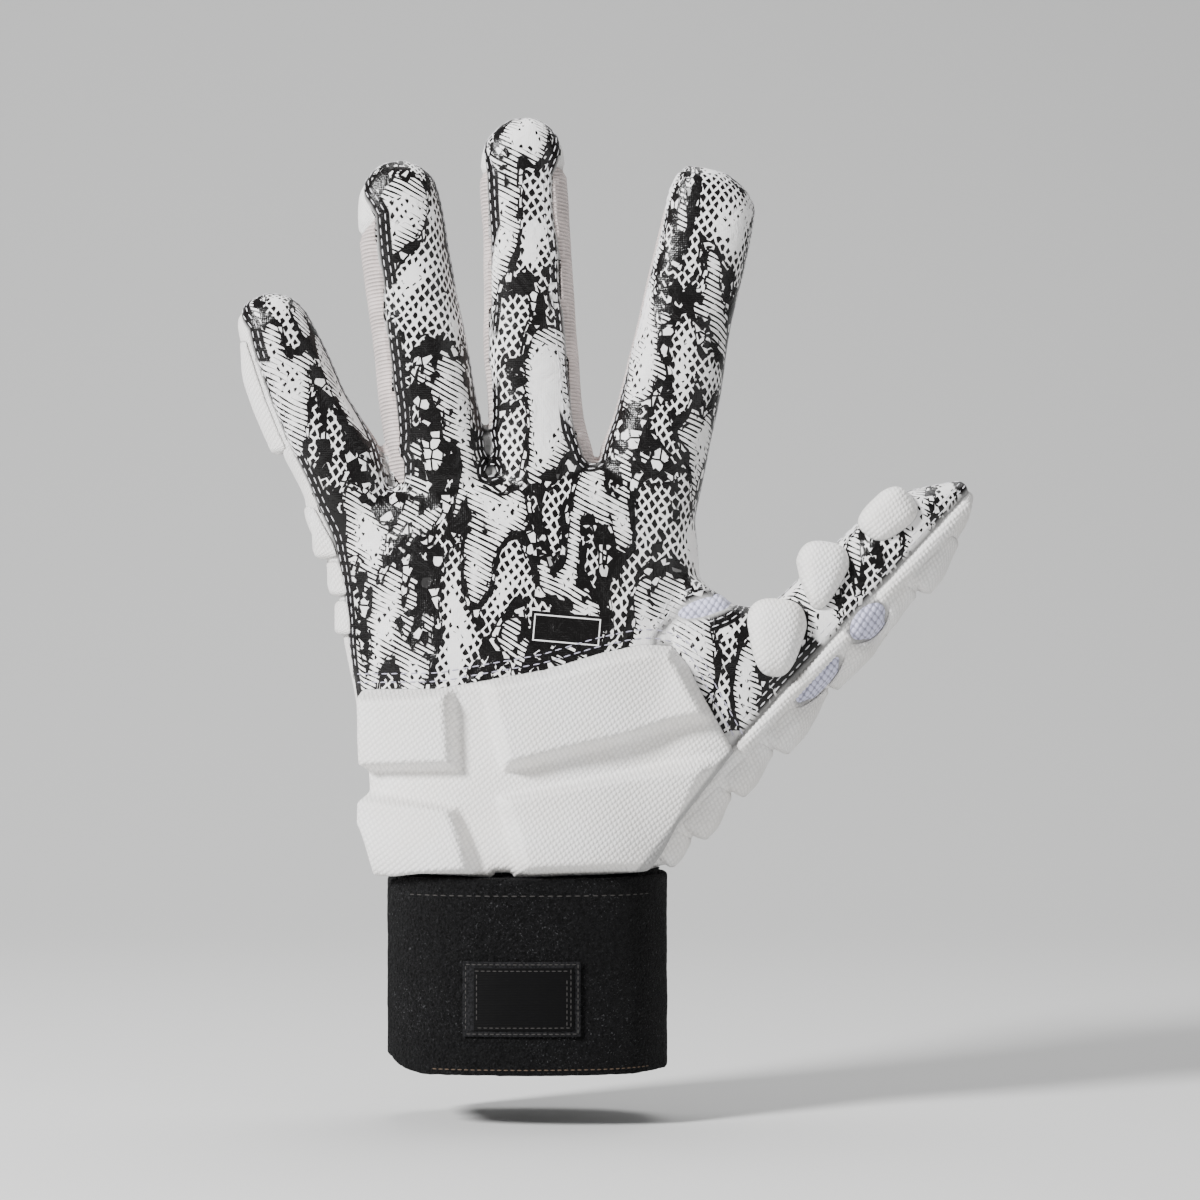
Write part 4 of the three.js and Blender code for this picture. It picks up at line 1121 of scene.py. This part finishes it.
class GLOVE_OT_panels(bpy.types.Operator):
    """Cuts the hand form into the sewn panels, the sidewalls, the vents and the cuff"""
    bl_idname = "glove.panels"
    bl_label = "Panels"

    def execute(self, context):
        inside = hand_object("hand_inside", -PANEL_WALL, 1.5, 3)
        shell = cut(copied(forms["hand"], "shell"), "DIFFERENCE", inside)
        little_side = STRAP_HEIGHT + CUFF_RISE_LITTLE_SIDE
        thumb_side = STRAP_HEIGHT + CUFF_RISE_THUMB_SIDE
        slope = (thumb_side - little_side) / WRIST_BREADTH
        middle = (thumb_side + little_side) / 2
        above = half_space("above", middle, slope * FAR)
        block = front_block()
        glove = cut(copied(shell, "glove"), "INTERSECT", above)
        cuff = cut(copied(shell, "wrist_cuff_knit"), "DIFFERENCE", above)
        front = cut(copied(glove, "front"), "INTERSECT", block)
        rear = cut(copied(glove, "rear"), "DIFFERENCE", block)

        foot = palm_place(THUMB_PANEL_FRONT_FOOT)
        fork = limb_place("thumb", THUMB_LENGTH * THUMB_SEAM_START, 0)
        tip = limb_place("thumb", THUMB_LENGTH * 1.3, 0)
        thumb_front = prism("thumb_front", [foot, fork, tip, (FAR, 140), (FAR, 0), (foot[0], 0)])
        back_foot = palm_place(THUMB_PANEL_BACK_FOOT)
        back_top = palm_place(THUMB_PANEL_BACK_TOP)
        high = STRAP_HEIGHT + THUMB_LENGTH
        thumb_back = prism("thumb_back", [
            back_foot, palm_place(THUMB_PANEL_BACK_HEAD), back_top,
            (back_top[0], high), (FAR, high), (FAR, 0), (back_foot[0], 0),
        ])

        vents = {}
        holes = []
        for name, (along, across, half_length, half_breadth, turn) in VENTS.items():
            x, z = limb_place("thumb", along * THUMB_LENGTH, across * THUMB_BREADTH)
            angle = math.radians(90 - LIMBS["thumb"]["lean"] - turn)
            outline = []
            for i in range(40):
                a = 2 * math.pi * i / 40
                p, q = half_length * math.cos(a), half_breadth * math.sin(a)
                outline.append((x + p * math.cos(angle) - q * math.sin(angle),
                                z + p * math.sin(angle) + q * math.cos(angle)))
            hole = prism(name + "_hole", outline, far=0)
            vents[name] = cut(cut(copied(glove, name + "_cloth"), "INTERSECT", hole), "INTERSECT", block)
            holes.append(hole)

        printed = cut(copied(front, "printed"), "DIFFERENCE", thumb_front, *holes)
        seam = [palm_place(share) for share in THUMB_GRIP_SEAM]
        thumb_grip = prism("thumb_grip", seam + [(seam[-1][0], high), (FAR, high), (FAR, seam[0][1])])
        palm = cut(copied(printed, "palm_print"), "DIFFERENCE", thumb_grip)
        thumb_print = cut(copied(printed, "thumb_print"), "INTERSECT", thumb_grip)
        side_front = cut(copied(glove, "thumb_side"), "INTERSECT", thumb_front)
        side_rear = cut(copied(rear, "side_rear"), "INTERSECT", thumb_back)
        thumb_side = cut(cut(side_front, "UNION", side_rear), "DIFFERENCE", *holes)
        back = cut(copied(rear, "hand_back"), "DIFFERENCE", thumb_back)
        strips = {}
        for left, right in zip(FINGERS, FINGERS[1:]):
            left_length = LIMBS[left]["size"][0]
            right_length = LIMBS[right]["size"][0]
            seam = BACK_SEAM * min(LIMBS[left]["size"][2], LIMBS[right]["size"][2])
            region = prism(f"between_{left}_{right}", [
                limb_place(left, left_length * SIDEWALL_START, 0),
                limb_place(left, left_length * SIDEWALL_END, 0),
                limb_place(right, right_length * SIDEWALL_END, 0),
                limb_place(right, right_length * SIDEWALL_START, 0),
            ], far=seam)
            bm = bmesh_of(region)
            across = [edge for edge in bm.edges if abs(edge.verts[0].co.y - edge.verts[1].co.y) < 1]
            bmesh.ops.subdivide_edges(bm, edges=across, cuts=12, use_grid_fill=True)
            for vertex in bm.verts:
                vertex.co.y -= bow(vertex.co.z)
            bmesh.ops.triangulate(bm, faces=bm.faces)
            put_back(bm, region)
            name = f"sidewall_{left}_{right}"
            strips[name] = cut(copied(rear, name + "_knit"), "INTERSECT", region)
            cut(back, "DIFFERENCE", region)
            removed(region)
        rise = math.tan(math.radians(KNUCKLE_SLOPE)) * FAR
        knuckles = STRAP_HEIGHT + KNUCKLE_SEAM * PALM_LENGTH
        fingers = half_space("above_knuckles", knuckles, rise)
        finger_backs = cut(copied(back, "finger_backs"), "INTERSECT", fingers)
        cut(back, "DIFFERENCE", fingers)
        removed(inside, shell, above, block, glove, front, rear, thumb_front, thumb_back, side_rear,
                printed, thumb_grip, fingers, *holes)

        depth, width = sizes().seam_depth, sizes().seam_width
        for piece in (palm, thumb_print, back, finger_backs, thumb_side, *strips.values(), *vents.values()):
            draw_in_edges(piece, depth, width)
        draw_in_edges(cuff, 0.2, 1.0)
        finish(palm, finish_named("printed grip"), "printed_grip", "palm_grip_panel")
        finish(thumb_print, finish_named("printed grip"), "printed_grip", "thumb_grip_panel")
        finish(back, finish_named("white cloth"), "white_cloth", "back_panel")
        finish(finger_backs, finish_named("white cloth"), "white_cloth", "finger_back_panel")
        finish(thumb_side, finish_named("pebbled cloth"), "white_cloth", "thumb_outer_panel")
        for name, strip in strips.items():
            finish(strip, finish_named("ribbed knit"), "ribbed_knit", name)
        for name, vent in vents.items():
            finish(vent, finish_named("open mesh"), "lilac_mesh", name)
        finish(cuff, finish_named("black knit"), "black_knit", "wrist_cuff")
        forms["prints"] = (palm, thumb_print)
        return {"FINISHED"}


class GLOVE_OT_heel_pad(bpy.types.Operator):
    """Raises the four padded segments over the heel of the hand"""
    bl_idname = "glove.heel_pad"
    bl_label = "Heel pad"

    def execute(self, context):
        outline = [palm_place(share) for share in HEEL_PAD_OUTLINE]
        segments = [[palm_place(share) for share in segment] for segment in HEEL_PAD_SEGMENTS]
        base, rise_by, slope = sizes().heel_base, sizes().heel_rise, sizes().heel_slope
        rear = -PALM_DEPTH * 0.24

        foot = [palm_place(share) for share in HEEL_BAND_FOOT]
        crest = [palm_place(share) for share in HEEL_BAND_CREST]

        def height(spot):
            inside = min(edge_distance(outline, spot.x, spot.z), rear - spot.y)
            if spot.y > 1.5 or inside < -3:
                return -SUNK
            rise = 0
            for segment in segments:
                rise = max(rise, smoothstep(edge_distance(segment, spot.x, spot.z), -0.3, slope))
            before = max(beside(foot, spot.x, spot.z), 0)
            beyond = min(beside(crest, spot.x, spot.z), 0)
            band = before / (before - beyond) if before > 0 else 0
            top = base + rise_by * rise * band * smoothstep(inside, -0.5, 3.0)
            return (top + SUNK) * rolled(inside + 0.6, 2.2) - SUNK

        pad = raised("heel_pad_foam", HEEL_BLOCK, 2, height, 0.6, even=True)
        # The edge value sets the painted shade at the pad's foot; along the thumb's seam it also falls to
        # nothing at the band's foot line, painting shade along that seam
        keep_foot(pad)
        for vertex, kept in zip(pad.data.vertices, pad.data.attributes["edge"].data):
            to_seam = beside(foot, vertex.co.x / MM, vertex.co.z / MM)
            kept.value = min(kept.value, max(to_seam, 0) * 1.4)
        finish(pad, finish_named("pebbled cloth"), "white_padding", "heel_pad", padded=0.9, angle=60)
        forms["heel"] = outline
        return {"FINISHED"}


def beside(line, x, z):
    """How far a place lies to the left of a line that runs downwards, in millimetres."""
    (x0, z0), (x1, z1) = line
    return ((z1 - z0) * (x - x0) - (x1 - x0) * (z - z0)) / math.hypot(x1 - x0, z1 - z0)


def evened_right(piece):
    """Evens a solid out strongly on its right side."""
    before = [vertex.co.copy() for vertex in piece.data.vertices]
    smoothed(piece, EVEN_STEPS)
    for vertex, was in zip(piece.data.vertices, before):
        vertex.co = was.lerp(vertex.co, smoothstep(was.x / MM, *EVEN_PLACES))


def raised(name, outline, far, height, grain, even=False):
    """A pad made by raising a patch of the hand form by a height that depends on the place."""
    block = prism(name + "_block", outline, far=far)
    pad = cut(copied(forms["hand"], name), "INTERSECT", block)
    removed(block)
    if even:
        evened_right(remeshed(pad, EVEN_GRAIN))
    smoothed(remeshed(pad, grain * (1)), 12 if even else 3)
    bm = bmesh_of(pad)
    bm.normal_update()
    moves = [(vertex, vertex.normal * height(vertex.co)) for vertex in bm.verts]
    for vertex, move in moves:
        vertex.co += move
    smooth(bm)
    return largest_only(cut(put_back(bm, pad), "DIFFERENCE", forms["hand"]))


def largest_only(piece):
    """Keeps the largest closed body of a mesh."""
    bm = bmesh_of(piece)
    left = set(bm.verts)
    bodies = []
    while left:
        start = left.pop()
        body = [start]
        for vertex in body:
            for edge in vertex.link_edges:
                other = edge.other_vert(vertex)
                if other in left:
                    left.discard(other)
                    body.append(other)
        bodies.append(body)
    bodies.sort(key=len)
    crumbs = [vertex for body in bodies[:-1] for vertex in body]
    bmesh.ops.delete(bm, geom=crumbs, context="VERTS")
    return put_back(bm, piece)


def dome(name, centre, depth_at, halves, lean, narrowing):
    """A crowned pad that lies against the hand, narrower at its lower end."""
    bm = bmesh.new()
    made = bmesh.ops.create_uvsphere(bm, u_segments=56, v_segments=40, radius=1)["verts"]
    for vertex in made:
        x, y, z = [rounded(value, PAD_SQUARENESS) for value in vertex.co]
        width = 1 - narrowing * max(0.35 - z, 0)
        vertex.co = (x * width * halves[0], y * halves[1], z * halves[2])
    bmesh.ops.rotate(bm, verts=made, cent=(0, 0, 0), matrix=Matrix.Rotation(math.radians(lean), 3, "Y"))
    bmesh.ops.translate(bm, verts=made, vec=(centre[0], depth_at - bow(centre[1]), centre[1]))
    return largest_only(cut(object_of(name, bm), "DIFFERENCE", forms["hand"]))


def limb_measures(name, spot):
    """How far along and across a limb's axis a place lies, in millimetres."""
    lean = math.radians(LIMBS[name]["lean"])
    x, z = palm_place(LIMBS[name]["root"])
    return ((spot.x - x) * math.sin(lean) + (spot.z - z) * math.cos(lean),
            (spot.x - x) * math.cos(lean) - (spot.z - z) * math.sin(lean))


def beyond_vents(spot, along, across):
    """How far a place in front on the thumb lies outside its vents."""
    if spot.y > 2:
        return 9
    nearest = 9
    for name, (vent_along, vent_across, half_length, half_breadth, _) in VENTS.items():
        if name != "mesh_vent_web":
            reach = math.hypot((along - vent_along * THUMB_LENGTH) / half_length,
                               (across - vent_across * THUMB_BREADTH) / half_breadth)
            nearest = min(nearest, (reach - 1) * half_breadth)
    return nearest


def rolled(distance, width):
    """A quarter-round rise over a width from an edge."""
    t = min(max(distance / width, 0), 1)
    return math.sqrt(1 - (1 - t) ** 2)


class GLOVE_OT_thumb_pads(bpy.types.Operator):
    """Makes the three crowned pads on the thumb's inner side"""
    bl_idname = "glove.thumb_pads"
    bl_label = "Thumb pads"

    def execute(self, context):
        length, breadth, depth = LIMBS["thumb"]["size"]
        for i, row in enumerate(THUMB_PADS):
            along, across, ahead, half_length, half_breadth, half_depth, lean, narrowing = row
            centre = limb_place("thumb", along * length, across * breadth)
            halves = (half_breadth * breadth, half_depth * depth, half_length * length)
            node = f"thumb_pad_{i + 1}"
            pad = dome(node + "_foam", centre, -ahead * depth, halves, lean, narrowing)
            finish(pad, finish_named("pebbled cloth"), "white_padding", node, padded=0.9, angle=50)
        return {"FINISHED"}


class GLOVE_OT_edge_pads(bpy.types.Operator):
    """Raises the pads that wrap round the thumb's and the hand's outer edges"""
    bl_idname = "glove.edge_pads"
    bl_label = "Edge pads"

    def execute(self, context):
        length, breadth, _ = LIMBS["thumb"]["size"]
        thumb = np.array(THUMB_ROWS)
        for i, (start, end, reach) in enumerate(THUMB_BACK_PADS):
            low, high = start * length, end * length

            def height(spot, low=low, high=high, reach=reach):
                along, across = limb_measures("thumb", spot)
                side = eased(thumb[:, 0], thumb[:, 2], np.array([along / length]))[0] * breadth
                over = 1 if spot.y + bow(spot.z) > 0 else smoothstep(across, 3.2, side + 0.2)
                over *= 0.3 + 0.7 * smoothstep(high - along, 0, (high - low) * 0.7)
                edge = min(along - low + 0.2, high - along + 0.3, across - 3.0,
                           beyond_vents(spot, along, across))
                if edge < -1.5 or across < 1.5:
                    return -SUNK
                return (max(reach * breadth - side, 1) * over + SUNK) * rolled(edge, 2.0) - SUNK

            corners = ((low - 2, 0.5), (low - 2, 30), (high + 2, 30), (high + 2, 0.5))
            outline = [limb_place("thumb", *corner) for corner in corners]
            node = f"thumb_back_pad_{i + 1}"
            self.add(node, outline, height)

        length, breadth, _ = LIMBS["little"]["size"]
        little = np.array(LITTLE_FINGER_ROWS)
        low, high, reach = np.multiply(LITTLE_FINGER_PAD, (length, length, breadth)).tolist()

        def finger_height(spot):
            along, across = limb_measures("little", spot)
            side = eased(little[:, 0], little[:, 1], np.array([along / length]))[0] * breadth
            front = spot.y + bow(spot.z) + 7.2
            edge = min(along - low, (high - along) * 0.6, front, -3.5 - across)
            if edge < -1.5:
                return -SUNK
            lift = max(min(reach - side, 2.6), 0.8) * smoothstep(front, 0, 6)
            lift *= smoothstep(high - along, -1, 14)
            return (lift + SUNK) * rolled(edge, 2.2) - SUNK

        corners = ((low - 2, -30), (high + 2, -30), (high + 2, -2), (low - 2, -2))
        self.add("little_finger_pad", [limb_place("little", *corner) for corner in corners], finger_height)

        palm = np.array(PALM_ROWS)
        for i, (start, end, reach) in enumerate(HAND_EDGE_PADS):
            low, high = palm_place((0, start))[1], palm_place((0, end))[1]
            share = min((start + end) / 2, PALM_ROWS[-1][0])
            side = eased(palm[:, 0], palm[:, 1], np.array([share]))[0] * PALM_BREADTH

            def edge_height(spot, low=low, high=high, reach=reach * PALM_BREADTH, side=side):
                front = spot.y + bow(spot.z) + 7.2
                behind = 9 - side - spot.x if spot.y > 0 else 9
                edge = min(spot.z - low + 0.2, high - spot.z + 0.2, front, behind)
                if edge < -1.5:
                    return -SUNK
                lift = min(max(spot.x + reach, 0.7), 2.3) * smoothstep(front, 0, 5)
                return (lift + SUNK) * rolled(edge, 1.8) - SUNK

            outline = [(-80, low - 2), (11 - side, low - 2), (11 - side, high + 2), (-80, high + 2)]
            self.add(f"hand_edge_pad_{i + 1}", outline, edge_height)
        return {"FINISHED"}

    def add(self, node, outline, height):
        pad = raised(node + "_foam", outline, FAR, height, 0.5)
        # A start of 1.1 keeps the painted shade at these pads' feet faint
        keep_foot(pad, 1.1)
        finish(pad, finish_named("pebbled cloth"), "white_padding", node, padded=0.9, angle=50)


class GLOVE_OT_piping(bpy.types.Operator):
    """Rolls the ribbed edge along the thumb's seam"""
    bl_idname = "glove.piping"
    bl_label = "Piping"

    def execute(self, context):
        skin = forms["skin"]
        for node, (start, end) in PIPING_RUNS.items():
            length = (end - start) * THUMB_LENGTH
            rings = int(length / PIPING_STEP)
            line = []
            for i in range(rings + 1):
                share = start + (end - start) * i / rings
                x, z = limb_place("thumb", share * THUMB_LENGTH, 1.6)
                seat = skin.ray_cast(Vector((x, -100, z)), Vector((0, 1, 0)))[0]
                line.append(seat if seat is not None else line[-1])
            line = eased_chain(line, 12)
            bm = bmesh.new()
            grid = bmesh.ops.create_grid(bm, x_segments=20, y_segments=rings, size=1)["verts"]
            for vertex in grid:
                i = round((vertex.co.y + 1) / 2 * rings)
                way = (line[min(i + 1, rings)] - line[max(i - 1, 0)]).normalized()
                normal = skin.find_nearest(line[i])[1]
                side = way.cross(normal).normalized()
                up = side.cross(way).normalized()
                if up.dot(normal) < 0:
                    up = -up
                turn = math.pi * (vertex.co.x + 1)
                to_end = min(i, rings - i) * PIPING_STEP
                closing = math.sqrt(max(1 - (1 - min(to_end / 1.2, 1)) ** 2, 0.02))
                rib = 1 + 0.08 * math.sin(2 * math.pi * i * PIPING_STEP / PIPING_RIB)
                reach = PIPING_RADIUS * closing * rib
                lift = 0.45 * PIPING_RADIUS + 0.72 * reach * math.sin(turn)
                vertex.co = line[i] + up * lift + side * reach * math.cos(turn)
            close_ends(bm, grid)
            piping = largest_only(cut(object_of(node + "_roll", bm), "DIFFERENCE", forms["hand"]))
            finish(piping, finish_named("pebbled cloth"), "white_cloth", node, angle=60)
        return {"FINISHED"}


def wrist_outline(angle, shift):
    return (rounded(math.cos(angle)) * (WRIST_BREADTH / 2 + shift),
            rounded(math.sin(angle)) * (WRIST_DEPTH / 2 + shift))


class GLOVE_OT_strap(bpy.types.Operator):
    """Winds the wide strap round the wrist, its free end over its start"""
    bl_idname = "glove.strap"
    bl_label = "Wrist strap"

    def execute(self, context):
        start = math.radians(STRAP_START_ANGLE)
        end = math.radians(STRAP_END_ANGLE)
        overlap = start - 2 * math.pi
        bm = bmesh.new()
        grid = bmesh.ops.create_grid(bm, x_segments=300, y_segments=56, size=1)["verts"]
        for vertex in grid:
            share = (vertex.co.x + 1) / 2
            height = (vertex.co.y + 1) / 2
            angle = start + (end - start) * share
            rise = smoothstep(-angle, -overlap - 0.9, -overlap - 0.1)
            lift = SEAT_GAP + rise * (STRAP_THICKNESS + SEAT_GAP)
            x, y = wrist_outline(angle, lift + STRAP_THICKNESS)
            end_x, end_y = wrist_outline(end, lift + STRAP_THICKNESS)
            to_end = math.hypot(x - end_x, y - end_y)
            into = max(1 - to_end / STRAP_CORNER[0], 0) if share > 0.5 else 0
            foot = STRAP_CORNER[1] * (1 - math.sqrt(max(1 - into ** 2, 0)))
            foot += UNDER_RISE * max(1 - ((angle - UNDER_ANGLE) / UNDER_SPREAD) ** 2, 0) ** 2
            top = STRAP_HEIGHT - 0.35 * foot
            wave = 0.25 * noise.noise((angle * 3, 0, 0)) + 0.15 * noise.noise((angle * 14, 3, 0))
            z = foot + (top - foot) * height + wave * (1 - height) ** 4
            vertex.co = (x, y, z)
        bmesh.ops.recalc_face_normals(bm, faces=bm.faces)
        out = sum(face.normal.dot(Vector((face.calc_center_median().x, face.calc_center_median().y, 0)))
                  for face in bm.faces)
        if out < 0:
            bmesh.ops.reverse_faces(bm, faces=bm.faces)
        outer = bm.faces[:]
        bmesh.ops.solidify(bm, geom=outer, thickness=STRAP_THICKNESS)
        round_rims(bm, 0.55, 3)
        bm.normal_update()
        for vertex in bm.verts:
            fuzz = noise.noise(vertex.co / 1.3) * 0.10 + noise.noise(vertex.co / 7) * 0.16
            vertex.co += vertex.normal * fuzz
        strap = object_of("wrist_strap_loop", bm)
        finish(strap, finish_named("brushed loop"), "black_loop_cloth", "wrist_strap", angle=50)
        forms["strap"] = skin_of(strap)
        self.sew_edges()
        return {"FINISHED"}

    def sew_edges(self):
        """Dashed stitches along the strap's upper and lower edges."""
        skin = forms["strap"]
        jobs = (
            ("strap_thread_upper", [(x, 45.6) for x in np.linspace(-30, 31, 90)], "dark thread", 1.5, 2.3),
            ("strap_thread_lower", [(x, 1.5) for x in np.linspace(-24, 31, 90)], "brown thread", 1.2, 1.7),
        )
        for name, line, material, length, pitch in jobs:
            points = []
            for x, z in line:
                seat = skin.ray_cast(Vector((x, -100, z)), Vector((0, 1, 0)))[0]
                if seat is not None:
                    points.append(seat)
            bm = bmesh.new()
            sew(bm, even_points(points, pitch), skin, length, 0.32, lift=0.05)
            finish(object_of(name, bm), finish_named(material), "black_loop_cloth")


class GLOVE_OT_label(bpy.types.Operator):
    """Sews the bare patch on the strap"""
    bl_idname = "glove.label"
    bl_label = "Strap label"

    def execute(self, context):
        width, height, thickness = LABEL_SIZE
        seat = 3 * SEAT_GAP + 2 * STRAP_THICKNESS

        def sheet(name, low, high, lift, thick, bevel, columns, rows, relief):
            bm = bmesh.new()
            grid = bmesh.ops.create_grid(bm, x_segments=columns, y_segments=rows, size=1)["verts"]
            for vertex in grid:
                x = low[0] + (high[0] - low[0]) * (vertex.co.x + 1) / 2
                z = low[1] + (high[1] - low[1]) * (vertex.co.y + 1) / 2
                shift = seat + lift + thick + relief(x, z)
                half = WRIST_BREADTH / 2 + shift
                y = -(WRIST_DEPTH / 2 + shift) * (1 - abs(x / half) ** SQUARENESS) ** (1 / SQUARENESS)
                vertex.co = (x, y, z)
            bmesh.ops.recalc_face_normals(bm, faces=bm.faces)
            if sum(face.normal.y for face in bm.faces) > 0:
                bmesh.ops.reverse_faces(bm, faces=bm.faces)
            bmesh.ops.solidify(bm, geom=bm.faces[:], thickness=thick)
            round_rims(bm, bevel, 2)
            return object_of(name, bm)

        left = LABEL_CENTRE[0] - width / 2
        low = LABEL_CENTRE[1] - height / 2
        right = left + width
        top = low + height
        base = sheet("strap_label_patch", (left, low), (right, top), -0.2, 0.75, 0.2, 80, 50,
                     lambda x, z: 0.05 * math.sin(2 * math.pi * z / 0.8) * (x < left + 2.6))
        finish(base, finish_named("ribbon edge"), "black_satin", "strap_label")
        inner = sheet("strap_label_panel", (left + 2.8, low + 1.5), (right - 1.7, top - 1.5), 0.45, 0.42,
                      0.12, 60, 40, lambda x, z: 0.05 * noise.noise((x / 5, z / 5, 0)))
        finish(inner, finish_named("black satin"), "black_satin")
        skin = skin_of(inner)
        skin_base = skin_of(base)
        bm = bmesh.new()

        def frame_inside(from_left, from_right, from_rim):
            first = (left + from_left, low + from_rim)
            return [first, (right - from_right, low + from_rim), (right - from_right, top - from_rim),
                    (left + from_left, top - from_rim), first]

        rows = (
            (skin_base, frame_inside(0.8, 0.7, 0.7)),
            (skin, frame_inside(3.6, 2.5, 2.3)),
            (skin, [(right - 3.5, low + 2.6), (right - 3.5, top - 2.6)]),
        )
        for surface, corners in rows:
            points = []
            for (x0, z0), (x1, z1) in zip(corners, corners[1:]):
                steps = max(int(math.hypot(x1 - x0, z1 - z0)), 2)
                for i in range(steps):
                    t = i / steps
                    spot = Vector((x0 + (x1 - x0) * t, -100, z0 + (z1 - z0) * t))
                    seat_at = surface.ray_cast(spot, Vector((0, 1, 0)))[0]
                    if seat_at is not None:
                        points.append(seat_at)
            sew(bm, even_points(points, 1.5), surface, 1.1, 0.26, lift=0.04)
        finish(object_of("strap_label_thread", bm), finish_named("dark thread"), "black_satin")
        return {"FINISHED"}


class GLOVE_OT_stitches(bpy.types.Operator):
    """Sews double rows of thread along the panels' edges and over the heel pad"""
    bl_idname = "glove.stitches"
    bl_label = "Stitches"

    def execute(self, context):
        skin = forms["skin"]
        outline = forms["heel"]
        size = sizes()
        bm = bmesh.new()

        def clear_of_heel(spot):
            return edge_distance(outline, spot.x, spot.z) < -6

        for piece in forms["prints"]:
            for level in (1.9, 3.4):
                for chain in lines_at(piece, level, clear_of_heel):
                    points = even_points(eased_chain(chain), size.stitch_pitch)
                    sew(bm, points, skin, size.stitch_length, size.thread, lift=0.02)
        finish(object_of("palm_edge_thread", bm), finish_named("white thread"), "printed_grip")
        bm = bmesh.new()
        upper = outline[:10]
        for offset in (2.2, 4.4):
            points = []
            for (x0, z0), (x1, z1) in zip(upper, upper[1:]):
                length = math.hypot(x1 - x0, z1 - z0)
                out = (-(z1 - z0) / length * offset, (x1 - x0) / length * offset)
                for i in range(int(length)):
                    t = i / length
                    spot = Vector((x0 + (x1 - x0) * t + out[0], -100, z0 + (z1 - z0) * t + out[1]))
                    seat = skin.ray_cast(spot, Vector((0, 1, 0)))[0]
                    if seat is not None and -45 < spot.x:
                        points.append(seat)
            points = even_points(eased_chain(points), size.stitch_pitch)
            sew(bm, points, skin, size.stitch_length, size.thread, lift=0.12)
        finish(object_of("palm_lower_thread", bm), finish_named("lilac thread"), "printed_grip")
        return {"FINISHED"}


class GLOVE_OT_stage(bpy.types.Operator):
    """Sets the pale floor, the soft lights and the camera"""
    bl_idname = "glove.stage"
    bl_label = "Stage"

    def execute(self, context):
        bm = bmesh.new()
        grid = bmesh.ops.create_grid(bm, x_segments=8, y_segments=48, size=1)["verts"]
        for vertex in grid:
            run = (vertex.co.y + 1) / 2 * FLOOR_RUN
            beyond = min(max(run - FLOOR_FLAT, 0), FLOOR_RADIUS * math.pi / 2)
            angle = beyond / FLOOR_RADIUS
            y = min(run, FLOOR_FLAT) - FLOOR_FRONT + FLOOR_RADIUS * math.sin(angle)
            z = FLOOR_RADIUS * (1 - math.cos(angle)) + max(run - FLOOR_FLAT - beyond, 0)
            vertex.co = (vertex.co.x * 2600, y * 1000, z * 1000 - 14)
        floor = object_of("floor", bm)
        floor.data.shade_smooth()
        made = Finish("pale floor")
        made.set(colour=(0.66, 0.66, 0.655, 1), roughness=0.9, specular=0.2)
        floor.data.materials.append(made.material)

        scene = context.scene
        world = bpy.data.worlds.new("soft light")
        world.use_nodes = True
        sky = world.node_tree.nodes["Background"].inputs
        sky["Color"].default_value = (0.80, 0.81, 0.83, 1)
        sky["Strength"].default_value = 0.26
        scene.world = world
        lamps = (
            ("key", (-0.92, -0.84, 0.80), (0.0, 0.0, 0.12), 0.30, 48.0),
            ("fill", (0.95, -0.9, 0.35), (0.02, 0.0, 0.12), 0.9, 3.6),
            ("top", (0.15, 0.35, 1.15), (0.02, 0.0, 0.15), 0.8, 9.0),
        )
        for name, spot, aim, size, power in lamps:
            lamp = bpy.data.lights.new(name, "AREA")
            lamp.shape = "DISK"
            lamp.size = size
            lamp.energy = power
            holder = bpy.data.objects.new(name, lamp)
            holder.location = spot
            holder.rotation_euler = (Vector(aim) - Vector(spot)).to_track_quat("-Z", "Y").to_euler()
            scene.collection.objects.link(holder)

        camera = bpy.data.cameras.new("camera")
        camera.sensor_width = SENSOR
        camera.sensor_fit = "HORIZONTAL"
        camera.lens = SENSOR * -CAMERA_PLACE[1] / PICTURE_SIDE
        camera.clip_end = 20
        holder = bpy.data.objects.new("camera", camera)
        holder.location = CAMERA_PLACE
        holder.rotation_euler = (math.pi / 2, 0, 0)
        scene.collection.objects.link(holder)
        scene.camera = holder
        return {"FINISHED"}


class GLOVE_PT_panel(bpy.types.Panel):
    """Lists the sizes, the colours and the steps"""
    bl_idname = "GLOVE_PT_panel"
    bl_label = "Glove"
    bl_space_type = "VIEW_3D"
    bl_region_type = "UI"
    bl_category = "Glove"

    def draw(self, context):
        for group in (context.scene.glove_sizes, context.scene.glove_colours):
            for name in group.__annotations__:
                self.layout.prop(group, name)
        for operator in OPERATORS:
            self.layout.operator(operator.bl_idname)


OPERATORS = (
    GLOVE_OT_hand_form,
    GLOVE_OT_panels,
    GLOVE_OT_heel_pad,
    GLOVE_OT_thumb_pads,
    GLOVE_OT_edge_pads,
    GLOVE_OT_piping,
    GLOVE_OT_strap,
    GLOVE_OT_label,
    GLOVE_OT_stitches,
    GLOVE_OT_stage,
)
CLASSES = (GloveSizes, GloveColours, *OPERATORS, GLOVE_PT_panel)


def register():
    for item in CLASSES:
        bpy.utils.register_class(item)
    bpy.types.Scene.glove_sizes = PointerProperty(type=GloveSizes)
    bpy.types.Scene.glove_colours = PointerProperty(type=GloveColours)


def unregister():
    del bpy.types.Scene.glove_sizes
    del bpy.types.Scene.glove_colours
    for item in reversed(CLASSES):
        bpy.utils.unregister_class(item)


def main():
    register()
    bpy.ops.glove.hand_form()
    bpy.ops.glove.panels()
    bpy.ops.glove.heel_pad()
    bpy.ops.glove.thumb_pads()
    bpy.ops.glove.edge_pads()
    bpy.ops.glove.piping()
    bpy.ops.glove.strap()
    bpy.ops.glove.label()
    bpy.ops.glove.stitches()
    bpy.ops.glove.stage()
    removed(forms["hand"])


if __name__ == "__main__":
    main()
